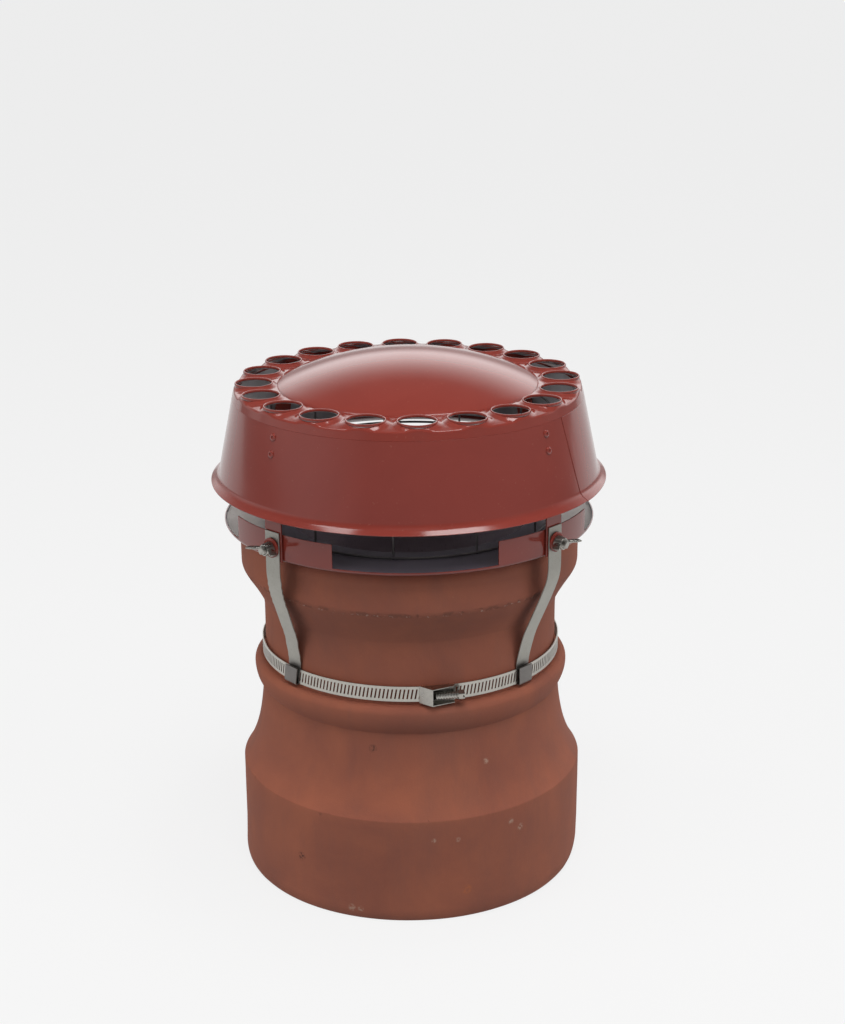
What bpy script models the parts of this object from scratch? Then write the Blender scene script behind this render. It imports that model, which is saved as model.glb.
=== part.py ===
"""A clay roll pot with an anti-downdraught cowl strapped to its neck, in metres, standing on Z = 0.

The cowl's front hole points along -Y. Every height is measured from the pot's foot and every radius from the
common axis, so the pot, the tray on its rim and the canopy above share one set of sizes.
"""
import math

import bmesh
import bpy
from mathutils import Matrix, Vector

MM = 0.001
GAP = 0.3 * MM            # kept between pieces that touch
SIDES = 40                # facets round the large turned pieces
SMALL_SIDES = 10          # facets round bolts, nuts, washers and holes
FACET = math.cos(math.pi / SIDES)   # how near the axis the middle of a facet is, of its corners' radius

# The clay pot, nominally a 300 mm roll pot, as stretches from the foot up and reaches beyond its neck
NECK_RADIUS = 121.7 * MM
CLAY = 20 * MM            # wall thickness
FOOT_STRETCH = 88 * MM
COVE_STRETCH = 69.5 * MM
BEAD_STRETCH = 18 * MM    # from the crease under the bead up to its widest
BEAD_NOSE = 7.5 * MM
NECK_STRETCH = 48 * MM
FLARE_STRETCH = 32 * MM
ROLL_STRETCH = 37 * MM
FOOT_REACH = 21.3 * MM
CREASE_REACH = 2.8 * MM
BEAD_REACH = 9.4 * MM
ROLL_REACH = 17.9 * MM
COVE_SOFTNESS = 30 * MM
ROLL_CURVE = 12 * MM
FOOT_CURVE = 4 * MM
MOUTH_WALL = 26 * MM      # the thicker wall inside the rolled rim

# The pressed sheet steel
SHEET = 1.0 * MM
TRAY_OVERHANG = 12.4 * MM         # the tray's wall outside the pot's rolled rim
TRAY_WALL = 22 * MM
FLUE_LEDGE = 1.7 * MM             # how far the tray's floor reaches in past the pot's bore
WINDOW_ANGLE = math.radians(49.5)
WINDOWS = 4

CANOPY_RISE = 112.5 * MM          # from the tray's floor to the ring of holes
FOLD_RADIUS = 8 * MM
FOLD_INSET = 10.2 * MM            # the folded edge inside the line of the tray's wall
SKIRT_FLARE = 0.206               # radius gained for each unit of fall
SKIRT_CORNER_DROP = 75 * MM       # from the ring of holes to where the rim turns outwards
RIM_REACH = 6.4 * MM
RIM_FALL = 2.9 * MM
LAP = 9 * MM                      # how far the top is tucked inside the skirt
LAP_UNDER_FOLD = 3.5 * MM
DOME_RISE = 22.5 * MM
HOLES = 20
HOLE_RADIUS = 15 * MM
HOLE_TURN = math.radians(1.2)
HOLE_TO_EDGE = 2.4 * MM           # metal left outside the holes
HOLE_TO_DOME = 4.4 * MM           # metal left inside the holes

# Four brackets inside the skirt, each bolted to the tray and to a strap down to the neck
LEGS = 4
BRACKET_WIDTH = 18 * MM
BRACKET = 1.5 * MM
STRAP_WIDTH = 15 * MM
STRAP = 1.2 * MM
STRAP_OVER_BOLT = 13 * MM
STRAP_BEND_UNDER_TRAY = 17 * MM
STRAP_FOOT_OVER_BAND = 4 * MM     # where the strap turns upright against the neck
STRAP_EASE = 0.22                 # share of its bends that each easing point takes off
HOOK_OVER_BAND = 1 * MM
LEAN = math.radians(-7.0)         # the front left strap's foot is pulled round the neck
BOLT_RADIUS = 3 * MM
BOLT_PROUD = 2.8 * MM             # of the wing nut's hub
HEAD_RADIUS = 6 * MM
HEAD = 3 * MM
WASHER_RADIUS = 8 * MM
WASHER = 1.5 * MM
HUB_RADIUS = 5.5 * MM
HUB = 7 * MM
EAR_REACH = 13.5 * MM
EAR_RISE = 13 * MM
EAR = 2.2 * MM

# The slotted band and its worm screw housing
BAND_WIDTH = 12.7 * MM
BAND = 0.7 * MM
BAND_OVER_BEAD = 2.2 * MM
HOUSING_TURN = math.radians(7.5)
HOUSING_LENGTH = 28 * MM
HOUSING_HEIGHT = 14.5 * MM
HOUSING_DEPTH = 9.5 * MM
SCREW_RADIUS = 2.6 * MM
SCREW_PROUD = 2 * MM              # of the housing's open end, before its head
SCREW_HEAD = 5 * MM
SCREW_HEAD_RADIUS = 4.2 * MM

# The wire guard between the tray and the canopy
WIRE = 2.0 * MM
GUARD_SETBACK = 17 * MM           # from the edge of the flue opening
GUARD_SHORT = 16.4 * MM           # how far it stops below the canopy's lap
GUARD_WIRES = 11
GUARD_TURN = math.radians(-8.0)

# Heights and radii that follow
SHOULDER_HEIGHT = FOOT_STRETCH
CREASE_HEIGHT = SHOULDER_HEIGHT + COVE_STRETCH
BEAD_WIDEST_HEIGHT = CREASE_HEIGHT + BEAD_STRETCH
NECK_FOOT_HEIGHT = BEAD_WIDEST_HEIGHT + BEAD_NOSE
NECK_TOP_HEIGHT = NECK_FOOT_HEIGHT + NECK_STRETCH
ROLL_HEIGHT = NECK_TOP_HEIGHT + FLARE_STRETCH
POT_HEIGHT = ROLL_HEIGHT + ROLL_STRETCH
POT_RADIUS = NECK_RADIUS + FOOT_REACH
CREASE_RADIUS = NECK_RADIUS + CREASE_REACH
BEAD_RADIUS = NECK_RADIUS + BEAD_REACH
ROLL_RADIUS = NECK_RADIUS + ROLL_REACH
BORE = NECK_RADIUS - CLAY
TRAY_RADIUS = ROLL_RADIUS + TRAY_OVERHANG
FLUE_RADIUS = BORE - FLUE_LEDGE
GUARD_RADIUS = FLUE_RADIUS + GUARD_SETBACK
FOLD_EDGE = TRAY_RADIUS - FOLD_INSET
HOLE_CIRCLE = FOLD_EDGE - HOLE_TO_EDGE - HOLE_RADIUS
DOME_RADIUS = HOLE_CIRCLE - HOLE_RADIUS - HOLE_TO_DOME
TRAY_UNDER = POT_HEIGHT + GAP
TRAY_FLOOR = TRAY_UNDER + SHEET
RING_HEIGHT = TRAY_FLOOR + CANOPY_RISE
FLARE_ANGLE = math.atan(SKIRT_FLARE)
FOLD_END_HEIGHT = RING_HEIGHT - FOLD_RADIUS * (1 - math.sin(FLARE_ANGLE))
SKIRT_TOP = FOLD_END_HEIGHT - LAP_UNDER_FOLD
SKIRT_CORNER = RING_HEIGHT - SKIRT_CORNER_DROP
BRACKET_OUTSIDE = TRAY_RADIUS + GAP + BRACKET
STRAP_INSIDE = BRACKET_OUTSIDE + GAP
WASHER_INSIDE = STRAP_INSIDE + STRAP + GAP
NUT_INSIDE = WASHER_INSIDE + WASHER + GAP
BOLT_Z = TRAY_UNDER + TRAY_WALL / 2
BOLT_HEAD_TOP = (TRAY_RADIUS - SHEET) * FACET - GAP
BOLT_LENGTH = NUT_INSIDE + HUB + BOLT_PROUD - BOLT_HEAD_TOP
FOOT_INSIDE = NECK_RADIUS + GAP
BAND_INSIDE = (FOOT_INSIDE + STRAP + 2 * GAP) / FACET
BAND_OUTSIDE = BAND_INSIDE + BAND
BAND_BOTTOM = NECK_FOOT_HEIGHT + BAND_OVER_BEAD
BAND_TOP = BAND_BOTTOM + BAND_WIDTH


def paint(name, colour, roughness, metallic=0.0):
    """A plain Principled material."""
    made = bpy.data.materials.new(name)
    made.use_nodes = True
    shader = made.node_tree.nodes["Principled BSDF"]
    shader.inputs["Base Color"].default_value = (*colour, 1.0)
    shader.inputs["Roughness"].default_value = roughness
    shader.inputs["Metallic"].default_value = metallic
    made.diffuse_color = (*colour, 1.0)
    return made


def finish(name, mesh, material, smooth=False):
    """Closes a bmesh into a named object with its faces turned outwards."""
    bmesh.ops.recalc_face_normals(mesh, faces=mesh.faces)
    data = bpy.data.meshes.new(name)
    mesh.to_mesh(data)
    mesh.free()
    data.polygons.foreach_set("use_smooth", [smooth] * len(data.polygons))
    data.materials.append(material)
    made = bpy.data.objects.new(name, data)
    bpy.context.scene.collection.objects.link(made)
    return made


def arc(centre, radius, start, end, steps):
    """Points (radius from the axis, height) along an arc, with angles in degrees from level outwards."""
    points = []
    for step in range(steps + 1):
        angle = math.radians(start + (end - start) * step / steps)
        points.append((centre[0] + radius * math.cos(angle), centre[1] + radius * math.sin(angle)))
    return points


def beside(path, distance):
    """The same path moved sideways by a distance, to its right as it is walked, with mitred corners."""
    moved = []
    for index, (x, y) in enumerate(path):
        turns = []
        if index > 0:
            turns.append((x - path[index - 1][0], y - path[index - 1][1]))
        if index < len(path) - 1:
            turns.append((path[index + 1][0] - x, path[index + 1][1] - y))
        sides = []
        for dx, dy in turns:
            length = math.hypot(dx, dy)
            sides.append(Vector((dy / length, -dx / length)))
        along = sum(sides, Vector((0.0, 0.0))).normalized()
        reach = distance / along.dot(sides[0])
        moved.append((x + along.x * reach, y + along.y * reach))
    return moved


def sheet(path, thickness):
    """The closed section of a sheet whose outer face follows the path, walked from the axis or the top."""
    return path + beside(path, thickness)[::-1]


def turned(name, section, material, sides=SIDES, smooth=True):
    """A closed section of (radius, height) points turned about the Z axis."""
    mesh = bmesh.new()
    rings = []
    for radius, height in section:
        if radius < GAP:
            rings.append([mesh.verts.new((0.0, 0.0, height))])
            continue
        ring = []
        for side in range(sides):
            angle = 2 * math.pi * (side + 0.5) / sides
            ring.append(mesh.verts.new((radius * math.cos(angle), radius * math.sin(angle), height)))
        rings.append(ring)
    for index, ring in enumerate(rings):
        other = rings[(index + 1) % len(rings)]
        if len(ring) == 1 and len(other) == 1:
            continue
        for side in range(sides):
            after = (side + 1) % sides
            corners = [ring[side % len(ring)], ring[after % len(ring)]]
            corners += [other[after % len(other)], other[side % len(other)]]
            mesh.faces.new(list(dict.fromkeys(corners)))
    return finish(name, mesh, material, smooth)


def extruded(name, outline, depth, material, start=None):
    """A flat outline of (x, z) points given a depth along Y, from a start or about the middle."""
    start = -depth / 2 if start is None else start
    mesh = bmesh.new()
    corners = [mesh.verts.new((x, start, z)) for x, z in outline]
    face = mesh.faces.new(corners)
    grown = bmesh.ops.extrude_face_region(mesh, geom=[face])
    moved = [item for item in grown["geom"] if isinstance(item, bmesh.types.BMVert)]
    bmesh.ops.translate(mesh, verts=moved, vec=(0.0, depth, 0.0))
    return finish(name, mesh, material)


def outward(azimuth, radius, height):
    """A frame on the cowl's side: X runs round it, Y is up and Z points away from the axis."""
    around = Vector((math.cos(azimuth), math.sin(azimuth), 0.0))
    away = Vector((math.sin(azimuth), -math.cos(azimuth), 0.0))
    turn = Matrix((around, Vector((0.0, 0.0, 1.0)), away)).transposed().to_4x4()
    return Matrix.Translation(away * radius + Vector((0.0, 0.0, height))) @ turn


def joined(target, other, operation):
    """Adds an exact Boolean and keeps its other solid out of the result."""
    step = target.modifiers.new(operation.title(), "BOOLEAN")
    step.operation = operation
    step.solver = "EXACT"
    step.object = other
    other.hide_render = True
    other.display_type = "WIRE"


def leg_angle(leg):
    """The azimuth of a leg, from the front, with the legs halfway between the windows."""
    return 2 * math.pi * (leg + 0.5) / LEGS


def skirt_radius(height):
    """The skirt's outer radius at a height on its cone."""
    return FOLD_EDGE + (FOLD_END_HEIGHT - height) * SKIRT_FLARE


def clay_pot(material):
    """The roll pot: upright foot, cove, bead, neck and rolled rim, with a bore of its own."""
    cove = []
    for step in range(6):
        height = SHOULDER_HEIGHT + COVE_STRETCH * (step / 5) ** 1.5
        fade = math.exp(-(height - SHOULDER_HEIGHT) / COVE_SOFTNESS)
        left = math.exp(-COVE_STRETCH / COVE_SOFTNESS)
        cove.append((CREASE_RADIUS + (POT_RADIUS - CREASE_RADIUS) * (fade - left) / (1 - left), height))
    bead_fall = BEAD_WIDEST_HEIGHT - cove[-1][1]
    bead_bulge = BEAD_RADIUS - cove[-1][0]
    bead_curve = (bead_fall ** 2 + bead_bulge ** 2) / (2 * bead_bulge)
    bead_start = -math.degrees(math.asin(bead_fall / bead_curve))
    under_bead = arc((BEAD_RADIUS - bead_curve, BEAD_WIDEST_HEIGHT), bead_curve, bead_start, 0, 3)
    nose = 0.8 * BEAD_NOSE
    over_bead = arc((BEAD_RADIUS - nose, BEAD_WIDEST_HEIGHT), nose, 0, 90, 3)
    roll = arc((ROLL_RADIUS - ROLL_CURVE, POT_HEIGHT - ROLL_CURVE), ROLL_CURVE, 0, 90, 3)
    foot = arc((POT_RADIUS - FOOT_CURVE, FOOT_CURVE), FOOT_CURVE, -90, 0, 2)
    mouth = ROLL_RADIUS - MOUTH_WALL
    base_bore = POT_RADIUS - CLAY
    section = foot + cove + under_bead[1:] + over_bead[1:]
    section += [(NECK_RADIUS, NECK_FOOT_HEIGHT), (NECK_RADIUS, NECK_TOP_HEIGHT)]
    section += [(0.7 * NECK_RADIUS + 0.3 * ROLL_RADIUS, NECK_TOP_HEIGHT + 0.4 * (ROLL_HEIGHT - NECK_TOP_HEIGHT))]
    section += [(ROLL_RADIUS, ROLL_HEIGHT)] + roll
    section += [(mouth, POT_HEIGHT), (mouth, ROLL_HEIGHT), (BORE, NECK_TOP_HEIGHT), (BORE, CREASE_HEIGHT)]
    section += [(base_bore, SHOULDER_HEIGHT - 0.3 * CLAY), (base_bore, 0.0)]
    return turned("chimney_pot", section, material)


def base_tray(material):
    """A shallow tray with the flue opening in its floor, its wall cut down to the floor at four windows."""
    path = [(TRAY_RADIUS, TRAY_UNDER + TRAY_WALL), (TRAY_RADIUS, TRAY_UNDER), (FLUE_RADIUS, TRAY_UNDER)]
    tray = turned("base_tray", sheet(path, SHEET), material)
    cutter = bmesh.new()
    for window in range(WINDOWS):
        middle = 2 * math.pi * window / WINDOWS
        half = WINDOW_ANGLE / 2
        inside = 0.9 * TRAY_RADIUS
        outside = 1.3 * TRAY_RADIUS
        corners = [(-half, inside), (-half, outside), (0.0, outside), (half, outside), (half, inside)]
        bottom = [outward(middle + turn, radius, TRAY_FLOOR).translation for turn, radius in corners]
        face = cutter.faces.new([cutter.verts.new(corner) for corner in bottom])
        grown = bmesh.ops.extrude_face_region(cutter, geom=[face])
        moved = [item for item in grown["geom"] if isinstance(item, bmesh.types.BMVert)]
        bmesh.ops.translate(cutter, verts=moved, vec=(0.0, 0.0, 2 * TRAY_WALL))
    joined(tray, finish("window_cutter", cutter, material), "DIFFERENCE")
    joined(tray, bolt_holes("tray_hole_cutter", TRAY_RADIUS, material), "DIFFERENCE")
    return tray


def bolt_holes(name, radius, material):
    """Short round cutters, one for each leg's bolt, with a clearance all round."""
    cutter = bmesh.new()
    for leg in range(LEGS):
        place = outward(leg_angle(leg), radius, BOLT_Z)
        bmesh.ops.create_cone(cutter, cap_ends=True, segments=10, radius1=BOLT_RADIUS + GAP,
                              radius2=BOLT_RADIUS + GAP, depth=10 * MM, matrix=place)
    return finish(name, cutter, material)


def canopy_top(material):
    """The pressed top: dome, ring of round holes and folded edge, joggled to tuck inside the skirt."""
    curve = (DOME_RADIUS ** 2 + DOME_RISE ** 2) / (2 * DOME_RISE)
    edge = math.degrees(math.asin(DOME_RADIUS / curve))
    path = arc((0.0, RING_HEIGHT + DOME_RISE - curve), curve, 90, 90 - edge, 4)
    path[0] = (0.0, RING_HEIGHT + DOME_RISE)
    fold_centre = (FOLD_EDGE - FOLD_RADIUS * math.cos(FLARE_ANGLE), RING_HEIGHT - FOLD_RADIUS)
    path += arc(fold_centre, FOLD_RADIUS, 90, math.degrees(FLARE_ANGLE), 3)
    step_in = SHEET / math.cos(FLARE_ANGLE) + GAP
    lap_top = SKIRT_TOP + GAP
    lap_foot = SKIRT_TOP - LAP
    outer = path + [(skirt_radius(lap_top), lap_top), (skirt_radius(lap_top) - step_in, lap_top)]
    outer += [(skirt_radius(lap_foot) - step_in, lap_foot)]
    ledge = lap_top + SHEET
    inner = beside(path, SHEET)
    inner[0] = (0.0, RING_HEIGHT + DOME_RISE - SHEET)
    inner += [(skirt_radius(ledge) - step_in + GAP, ledge), (skirt_radius(ledge) - 2 * step_in + GAP, ledge)]
    inner += [(skirt_radius(lap_foot) - 2 * step_in + GAP, lap_foot)]
    top = turned("canopy_top", outer + inner[::-1], material)
    cutter = bmesh.new()
    for hole in range(HOLES):
        place = outward(HOLE_TURN + 2 * math.pi * hole / HOLES, HOLE_CIRCLE, RING_HEIGHT)
        bmesh.ops.create_cone(cutter, cap_ends=True, segments=SMALL_SIDES, radius1=HOLE_RADIUS,
                              radius2=HOLE_RADIUS, depth=3 * FOLD_RADIUS,
                              matrix=Matrix.Translation(place.translation))
    joined(top, finish("hole_cutter", cutter, material), "DIFFERENCE")
    return top


def canopy_skirt(material):
    """The rolled cone under the fold, with its lower edge turned out into a rim."""
    corner = skirt_radius(SKIRT_CORNER)
    path = [(skirt_radius(SKIRT_TOP), SKIRT_TOP)]
    path += [(skirt_radius(SKIRT_CORNER + RIM_FALL), SKIRT_CORNER + RIM_FALL)]
    path += [(corner + 0.3 * RIM_REACH, SKIRT_CORNER - 0.1 * RIM_FALL)]
    path += [(corner + RIM_REACH, SKIRT_CORNER - RIM_FALL)]
    return turned("canopy_skirt", sheet(path, SHEET), material)


def bracket(leg, material):
    """A strip riveted inside the skirt that comes down outside the tray's wall."""
    facet_loss = (1 - FACET) * TRAY_RADIUS
    inset = SHEET / math.cos(FLARE_ANGLE) + 2 * GAP + facet_loss
    turn_height = FOLD_END_HEIGHT - (BRACKET_OUTSIDE + inset - FOLD_EDGE) / SKIRT_FLARE
    lap_foot = SKIRT_TOP - LAP - GAP
    outer = [(skirt_radius(lap_foot) - inset, lap_foot), (BRACKET_OUTSIDE, turn_height)]
    outer += [(BRACKET_OUTSIDE, BOLT_Z), (BRACKET_OUTSIDE, TRAY_UNDER)]
    made = strip(f"bracket_{leg + 1}", outer, BRACKET_WIDTH, BRACKET, leg_angle(leg), 0.0, material)
    joined(made, bolt_hole(f"bracket_hole_{leg + 1}", leg, BRACKET_OUTSIDE, material), "DIFFERENCE")
    return made


def bolt_hole(name, leg, radius, material):
    """A round cutter for one leg's bolt, with a clearance all round."""
    cutter = bmesh.new()
    bmesh.ops.create_cone(cutter, cap_ends=True, segments=10, radius1=BOLT_RADIUS + GAP,
                          radius2=BOLT_RADIUS + GAP, depth=8 * MM, matrix=outward(leg_angle(leg), radius, BOLT_Z))
    return finish(name, cutter, material)


def strip(name, outer, width, thickness, azimuth, lean, material):
    """A flat strip whose outer face follows (radius, height) points down from the top, leaning round the pot."""
    inner = beside(outer, thickness)
    foot = min(height for radius, height in outer)
    bend = TRAY_UNDER - STRAP_BEND_UNDER_TRAY
    mesh = bmesh.new()
    stations = []
    for (out_radius, out_height), (in_radius, in_height) in zip(outer, inner):
        fall = min(max((bend - out_height) / (bend - foot), 0.0), 1.0) if lean else 0.0
        place = outward(azimuth + lean * fall, 0.0, 0.0)
        corners = []
        for side, radius, height in ((-0.5, in_radius, in_height), (0.5, in_radius, in_height),
                                     (0.5, out_radius, out_height), (-0.5, out_radius, out_height)):
            corners.append(mesh.verts.new(place @ Vector((side * width, height, radius))))
        stations.append(corners)
    for above, below in zip(stations[:-1], stations[1:]):
        for corner in range(4):
            after = (corner + 1) % 4
            mesh.faces.new([above[corner], above[after], below[after], below[corner]])
    mesh.faces.new(stations[0])
    mesh.faces.new(stations[-1])
    return finish(name, mesh, material)


def strap(leg, material):
    """A bare strap bolted outside the bracket, bent in to the neck and hooked up over the band."""
    bend = TRAY_UNDER - STRAP_BEND_UNDER_TRAY
    out = STRAP_INSIDE + STRAP
    behind = FOOT_INSIDE + STRAP
    upright = BAND_TOP + STRAP_FOOT_OVER_BAND
    drop = bend - upright
    outer = [(out, BOLT_Z + STRAP_OVER_BOLT), (out, BOLT_Z), (out, bend)]
    outer += [(out - STRAP_EASE * (out - behind), bend - STRAP_EASE * drop)]
    outer += [(behind + STRAP_EASE * (out - behind), upright + 1.4 * STRAP_EASE * drop)]
    outer += [(behind, upright), (behind, BAND_BOTTOM - GAP)]
    front = BAND_OUTSIDE + GAP
    outer += [(front, BAND_BOTTOM - GAP), (front, BAND_TOP + HOOK_OVER_BAND)]
    lean = LEAN if leg == LEGS - 1 else 0.0
    made = strip(f"strap_{leg + 1}", outer, STRAP_WIDTH, STRAP, leg_angle(leg), lean, material)
    joined(made, bolt_hole(f"strap_hole_{leg + 1}", leg, STRAP_INSIDE, material), "DIFFERENCE")
    return made


def bolt(leg, material):
    """A bolt from inside the tray's wall, through bracket, strap, washer and wing nut."""
    section = [(0.0, -HEAD), (0.7 * HEAD_RADIUS, -HEAD), (HEAD_RADIUS, -0.4 * HEAD), (HEAD_RADIUS, 0.0)]
    section += [(BOLT_RADIUS, 0.0), (BOLT_RADIUS, BOLT_LENGTH), (0.0, BOLT_LENGTH)]
    made = turned(f"bolt_{leg + 1}", section, material, sides=SMALL_SIDES)
    made.matrix_world = outward(leg_angle(leg), BOLT_HEAD_TOP, BOLT_Z)
    return made


def washer(leg, material):
    """A painted round washer under the wing nut."""
    hole = BOLT_RADIUS + GAP
    section = [(hole, 0.0), (WASHER_RADIUS, 0.0), (WASHER_RADIUS, WASHER), (hole, WASHER)]
    made = turned(f"washer_{leg + 1}", section, material, sides=SMALL_SIDES)
    made.matrix_world = outward(leg_angle(leg), WASHER_INSIDE, BOLT_Z)
    return made


def wing_nut(leg, material):
    """A tapered hub with two level ears that rise away from the strap."""
    hole = BOLT_RADIUS + GAP
    section = [(hole, 0.0), (HUB_RADIUS, 0.0), (0.85 * HUB_RADIUS, HUB), (hole, HUB)]
    made = turned(f"wing_nut_{leg + 1}", section, material, sides=SMALL_SIDES)
    start = 0.5 * (hole + 0.85 * HUB_RADIUS)
    outline = [(start, 0.1 * HUB), (HUB_RADIUS, 0.1 * HUB), (EAR_REACH, 0.55 * EAR_RISE), (EAR_REACH, EAR_RISE)]
    outline += [(0.65 * EAR_REACH, EAR_RISE), (start, 0.9 * HUB)]
    place = outward(leg_angle(leg), NUT_INSIDE, BOLT_Z)
    made.matrix_world = place
    for side, turn in (("left", math.pi), ("right", 0.0)):
        ear = extruded(f"ear_{side}_{leg + 1}", outline, EAR, material)
        ear.matrix_world = place @ Matrix.Rotation(turn, 4, "Z")
        joined(made, ear, "UNION")
    return made


def clamp_band(material):
    """The band round the neck, inside the straps' hooks."""
    section = [(BAND_INSIDE, BAND_BOTTOM), (BAND_OUTSIDE, BAND_BOTTOM)]
    section += [(BAND_OUTSIDE, BAND_TOP), (BAND_INSIDE, BAND_TOP)]
    return turned("clamp_band", section, material)


def clamp_housing(material):
    """The worm screw's open channel, standing off the band at its left end."""
    half = HOUSING_LENGTH / 2
    shallow = 0.4 * HOUSING_DEPTH
    lip = -0.35 * half
    outline = [(-half, 0.0), (half, 0.0), (half, shallow), (lip, HOUSING_DEPTH)]
    made = extruded("clamp_housing", outline, HOUSING_HEIGHT, material)
    lean = (lip + half) / HOUSING_DEPTH
    wall = SHEET * math.hypot(1.0, lean)
    beyond = 2 * HOUSING_DEPTH
    pocket = [(-half + wall + lean * SHEET, SHEET), (half + beyond, SHEET), (half + beyond, beyond)]
    pocket += [(-half + wall + lean * beyond, beyond)]
    inside = extruded("pocket_cutter", pocket, HOUSING_HEIGHT - 2 * SHEET, material)
    place = outward(HOUSING_TURN, BAND_OUTSIDE + GAP, (BAND_BOTTOM + BAND_TOP) / 2)
    made.matrix_world = place
    inside.matrix_world = place
    joined(made, inside, "DIFFERENCE")
    return made


def clamp_screw(material):
    """The worm screw lying in the channel, with its head past the shallow end."""
    half = HOUSING_LENGTH / 2
    length = 0.72 * HOUSING_LENGTH
    section = [(0.0, 0.0), (SCREW_RADIUS, 0.0), (SCREW_RADIUS, length), (SCREW_HEAD_RADIUS, length)]
    section += [(SCREW_HEAD_RADIUS, length + SCREW_HEAD), (0.0, length + SCREW_HEAD)]
    made = turned("clamp_screw", section, material, sides=SMALL_SIDES)
    place = outward(HOUSING_TURN, BAND_OUTSIDE + GAP, (BAND_BOTTOM + BAND_TOP) / 2)
    start = Matrix.Translation((half - length + SCREW_PROUD, 0.0, SHEET + GAP + SCREW_HEAD_RADIUS))
    made.matrix_world = place @ start @ Matrix.Rotation(math.pi / 2, 4, "Y")
    return made


def bird_guard(material):
    """Level wire rings and uprights that keep birds out of the gap."""
    rise = SKIRT_TOP - TRAY_FLOOR - GUARD_SHORT
    low = TRAY_FLOOR + GAP + WIRE / 2
    sides = 2 * GUARD_WIRES
    half = WIRE / 2
    rings = []
    for level in (0.0, 0.5, 1.0):
        height = low + level * rise
        section = [(GUARD_RADIUS - half, height), (GUARD_RADIUS, height - half)]
        section += [(GUARD_RADIUS + half, height), (GUARD_RADIUS, height + half)]
        rings.append(turned(f"guard_ring_{len(rings) + 1}", section, material, sides=sides))
    guard = rings[0]
    guard.name = "bird_guard"
    uprights = bmesh.new()
    for wire in range(GUARD_WIRES):
        azimuth = GUARD_TURN + 2 * math.pi * wire / GUARD_WIRES
        place = outward(azimuth, GUARD_RADIUS, low + rise / 2).translation
        bmesh.ops.create_cone(uprights, cap_ends=True, segments=4, radius1=0.9 * half, radius2=0.9 * half,
                              depth=rise, matrix=Matrix.Translation(place))
    for ring in rings[1:]:
        joined(guard, ring, "UNION")
    joined(guard, finish("guard_uprights", uprights, material), "UNION")
    return guard


def build():
    """Makes every piece from the pot upwards."""
    for old in list(bpy.data.objects):
        bpy.data.objects.remove(old, do_unlink=True)
    clay = paint("terracotta", (0.25, 0.085, 0.045), 0.85)
    coat = paint("terracotta_paint", (0.22, 0.04, 0.028), 0.3)
    steel = paint("galvanised_steel", (0.42, 0.42, 0.38), 0.45, 1.0)
    plated = paint("plated_steel", (0.5, 0.5, 0.46), 0.3, 1.0)
    clay_pot(clay)
    base_tray(coat)
    bird_guard(steel)
    canopy_top(coat)
    canopy_skirt(coat)
    for leg in range(LEGS):
        bracket(leg, coat)
        strap(leg, steel)
        bolt(leg, plated)
        washer(leg, coat)
        wing_nut(leg, plated)
    clamp_band(steel)
    clamp_housing(steel)
    clamp_screw(plated)


build()
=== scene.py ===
# %% [markdown]
# # A sheet-metal cowl on a clay chimney pot
#
# The cowl keeps a down-draught out of a flue. Its pressed and painted canopy stands on a shallow tray, and
# four bare straps hold the tray down on the rolled rim of a short clay pot. Each cell below makes one piece
# or one finish, in the order in which a maker would put them together. All sizes are in metres, and the CAD
# solids that are loaded first are the fixed frame that everything else is fitted to.

# %% Load the frame
import math
import bpy
from mathutils import Matrix, Vector


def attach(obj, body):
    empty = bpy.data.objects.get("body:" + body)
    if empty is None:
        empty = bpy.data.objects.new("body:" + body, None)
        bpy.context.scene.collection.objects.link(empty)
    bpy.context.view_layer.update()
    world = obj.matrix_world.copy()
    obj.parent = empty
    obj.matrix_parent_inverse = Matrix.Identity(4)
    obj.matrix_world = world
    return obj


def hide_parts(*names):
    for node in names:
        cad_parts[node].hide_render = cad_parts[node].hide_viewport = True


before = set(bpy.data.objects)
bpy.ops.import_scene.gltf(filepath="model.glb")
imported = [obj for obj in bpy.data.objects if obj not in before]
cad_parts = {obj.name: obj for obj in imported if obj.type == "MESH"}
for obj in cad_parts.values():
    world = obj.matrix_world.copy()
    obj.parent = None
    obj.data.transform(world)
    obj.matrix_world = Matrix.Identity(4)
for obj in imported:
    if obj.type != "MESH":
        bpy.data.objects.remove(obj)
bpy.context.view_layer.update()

# %% [markdown]
# ## Working by hand in a script
#
# Blender's operators act on whatever is selected, and the loaded frame comes in selected. So each step first
# puts everything down, takes up one piece and then works on it. A finished piece keeps its object at the
# origin and its place in its mesh, so that patterns on Object coordinates sit still on it.

# %% Taking pieces up and putting them down
MM = 0.001


def put_down():
    """Leaves edit mode and selects nothing."""
    if bpy.context.object and bpy.context.object.mode != "OBJECT":
        bpy.ops.object.mode_set(mode="OBJECT")
    bpy.ops.object.select_all(action="DESELECT")


def take_up(piece):
    """Selects one piece alone."""
    put_down()
    piece.select_set(True)
    bpy.context.view_layer.objects.active = piece


def edit(piece, mode="VERT"):
    """Opens a piece for editing, with all of it selected."""
    take_up(piece)
    bpy.ops.object.mode_set(mode="EDIT")
    bpy.ops.mesh.select_mode(type=mode)
    bpy.ops.mesh.select_all(action="SELECT")


def laid(piece, turn, place=(0.0, 0.0, 0.0)):
    """Turns a piece about the origin, carries it to its place, and moves both into its mesh."""
    take_up(piece)
    piece.rotation_euler = turn
    piece.location = place
    bpy.ops.object.transform_apply(location=True, rotation=True, scale=True)
    return piece


def turn_round(piece, azimuth):
    """Turns a piece about the pot's axis. Azimuth 0 is the front, and it grows to the right."""
    return laid(piece, (0.0, 0.0, azimuth))


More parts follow.
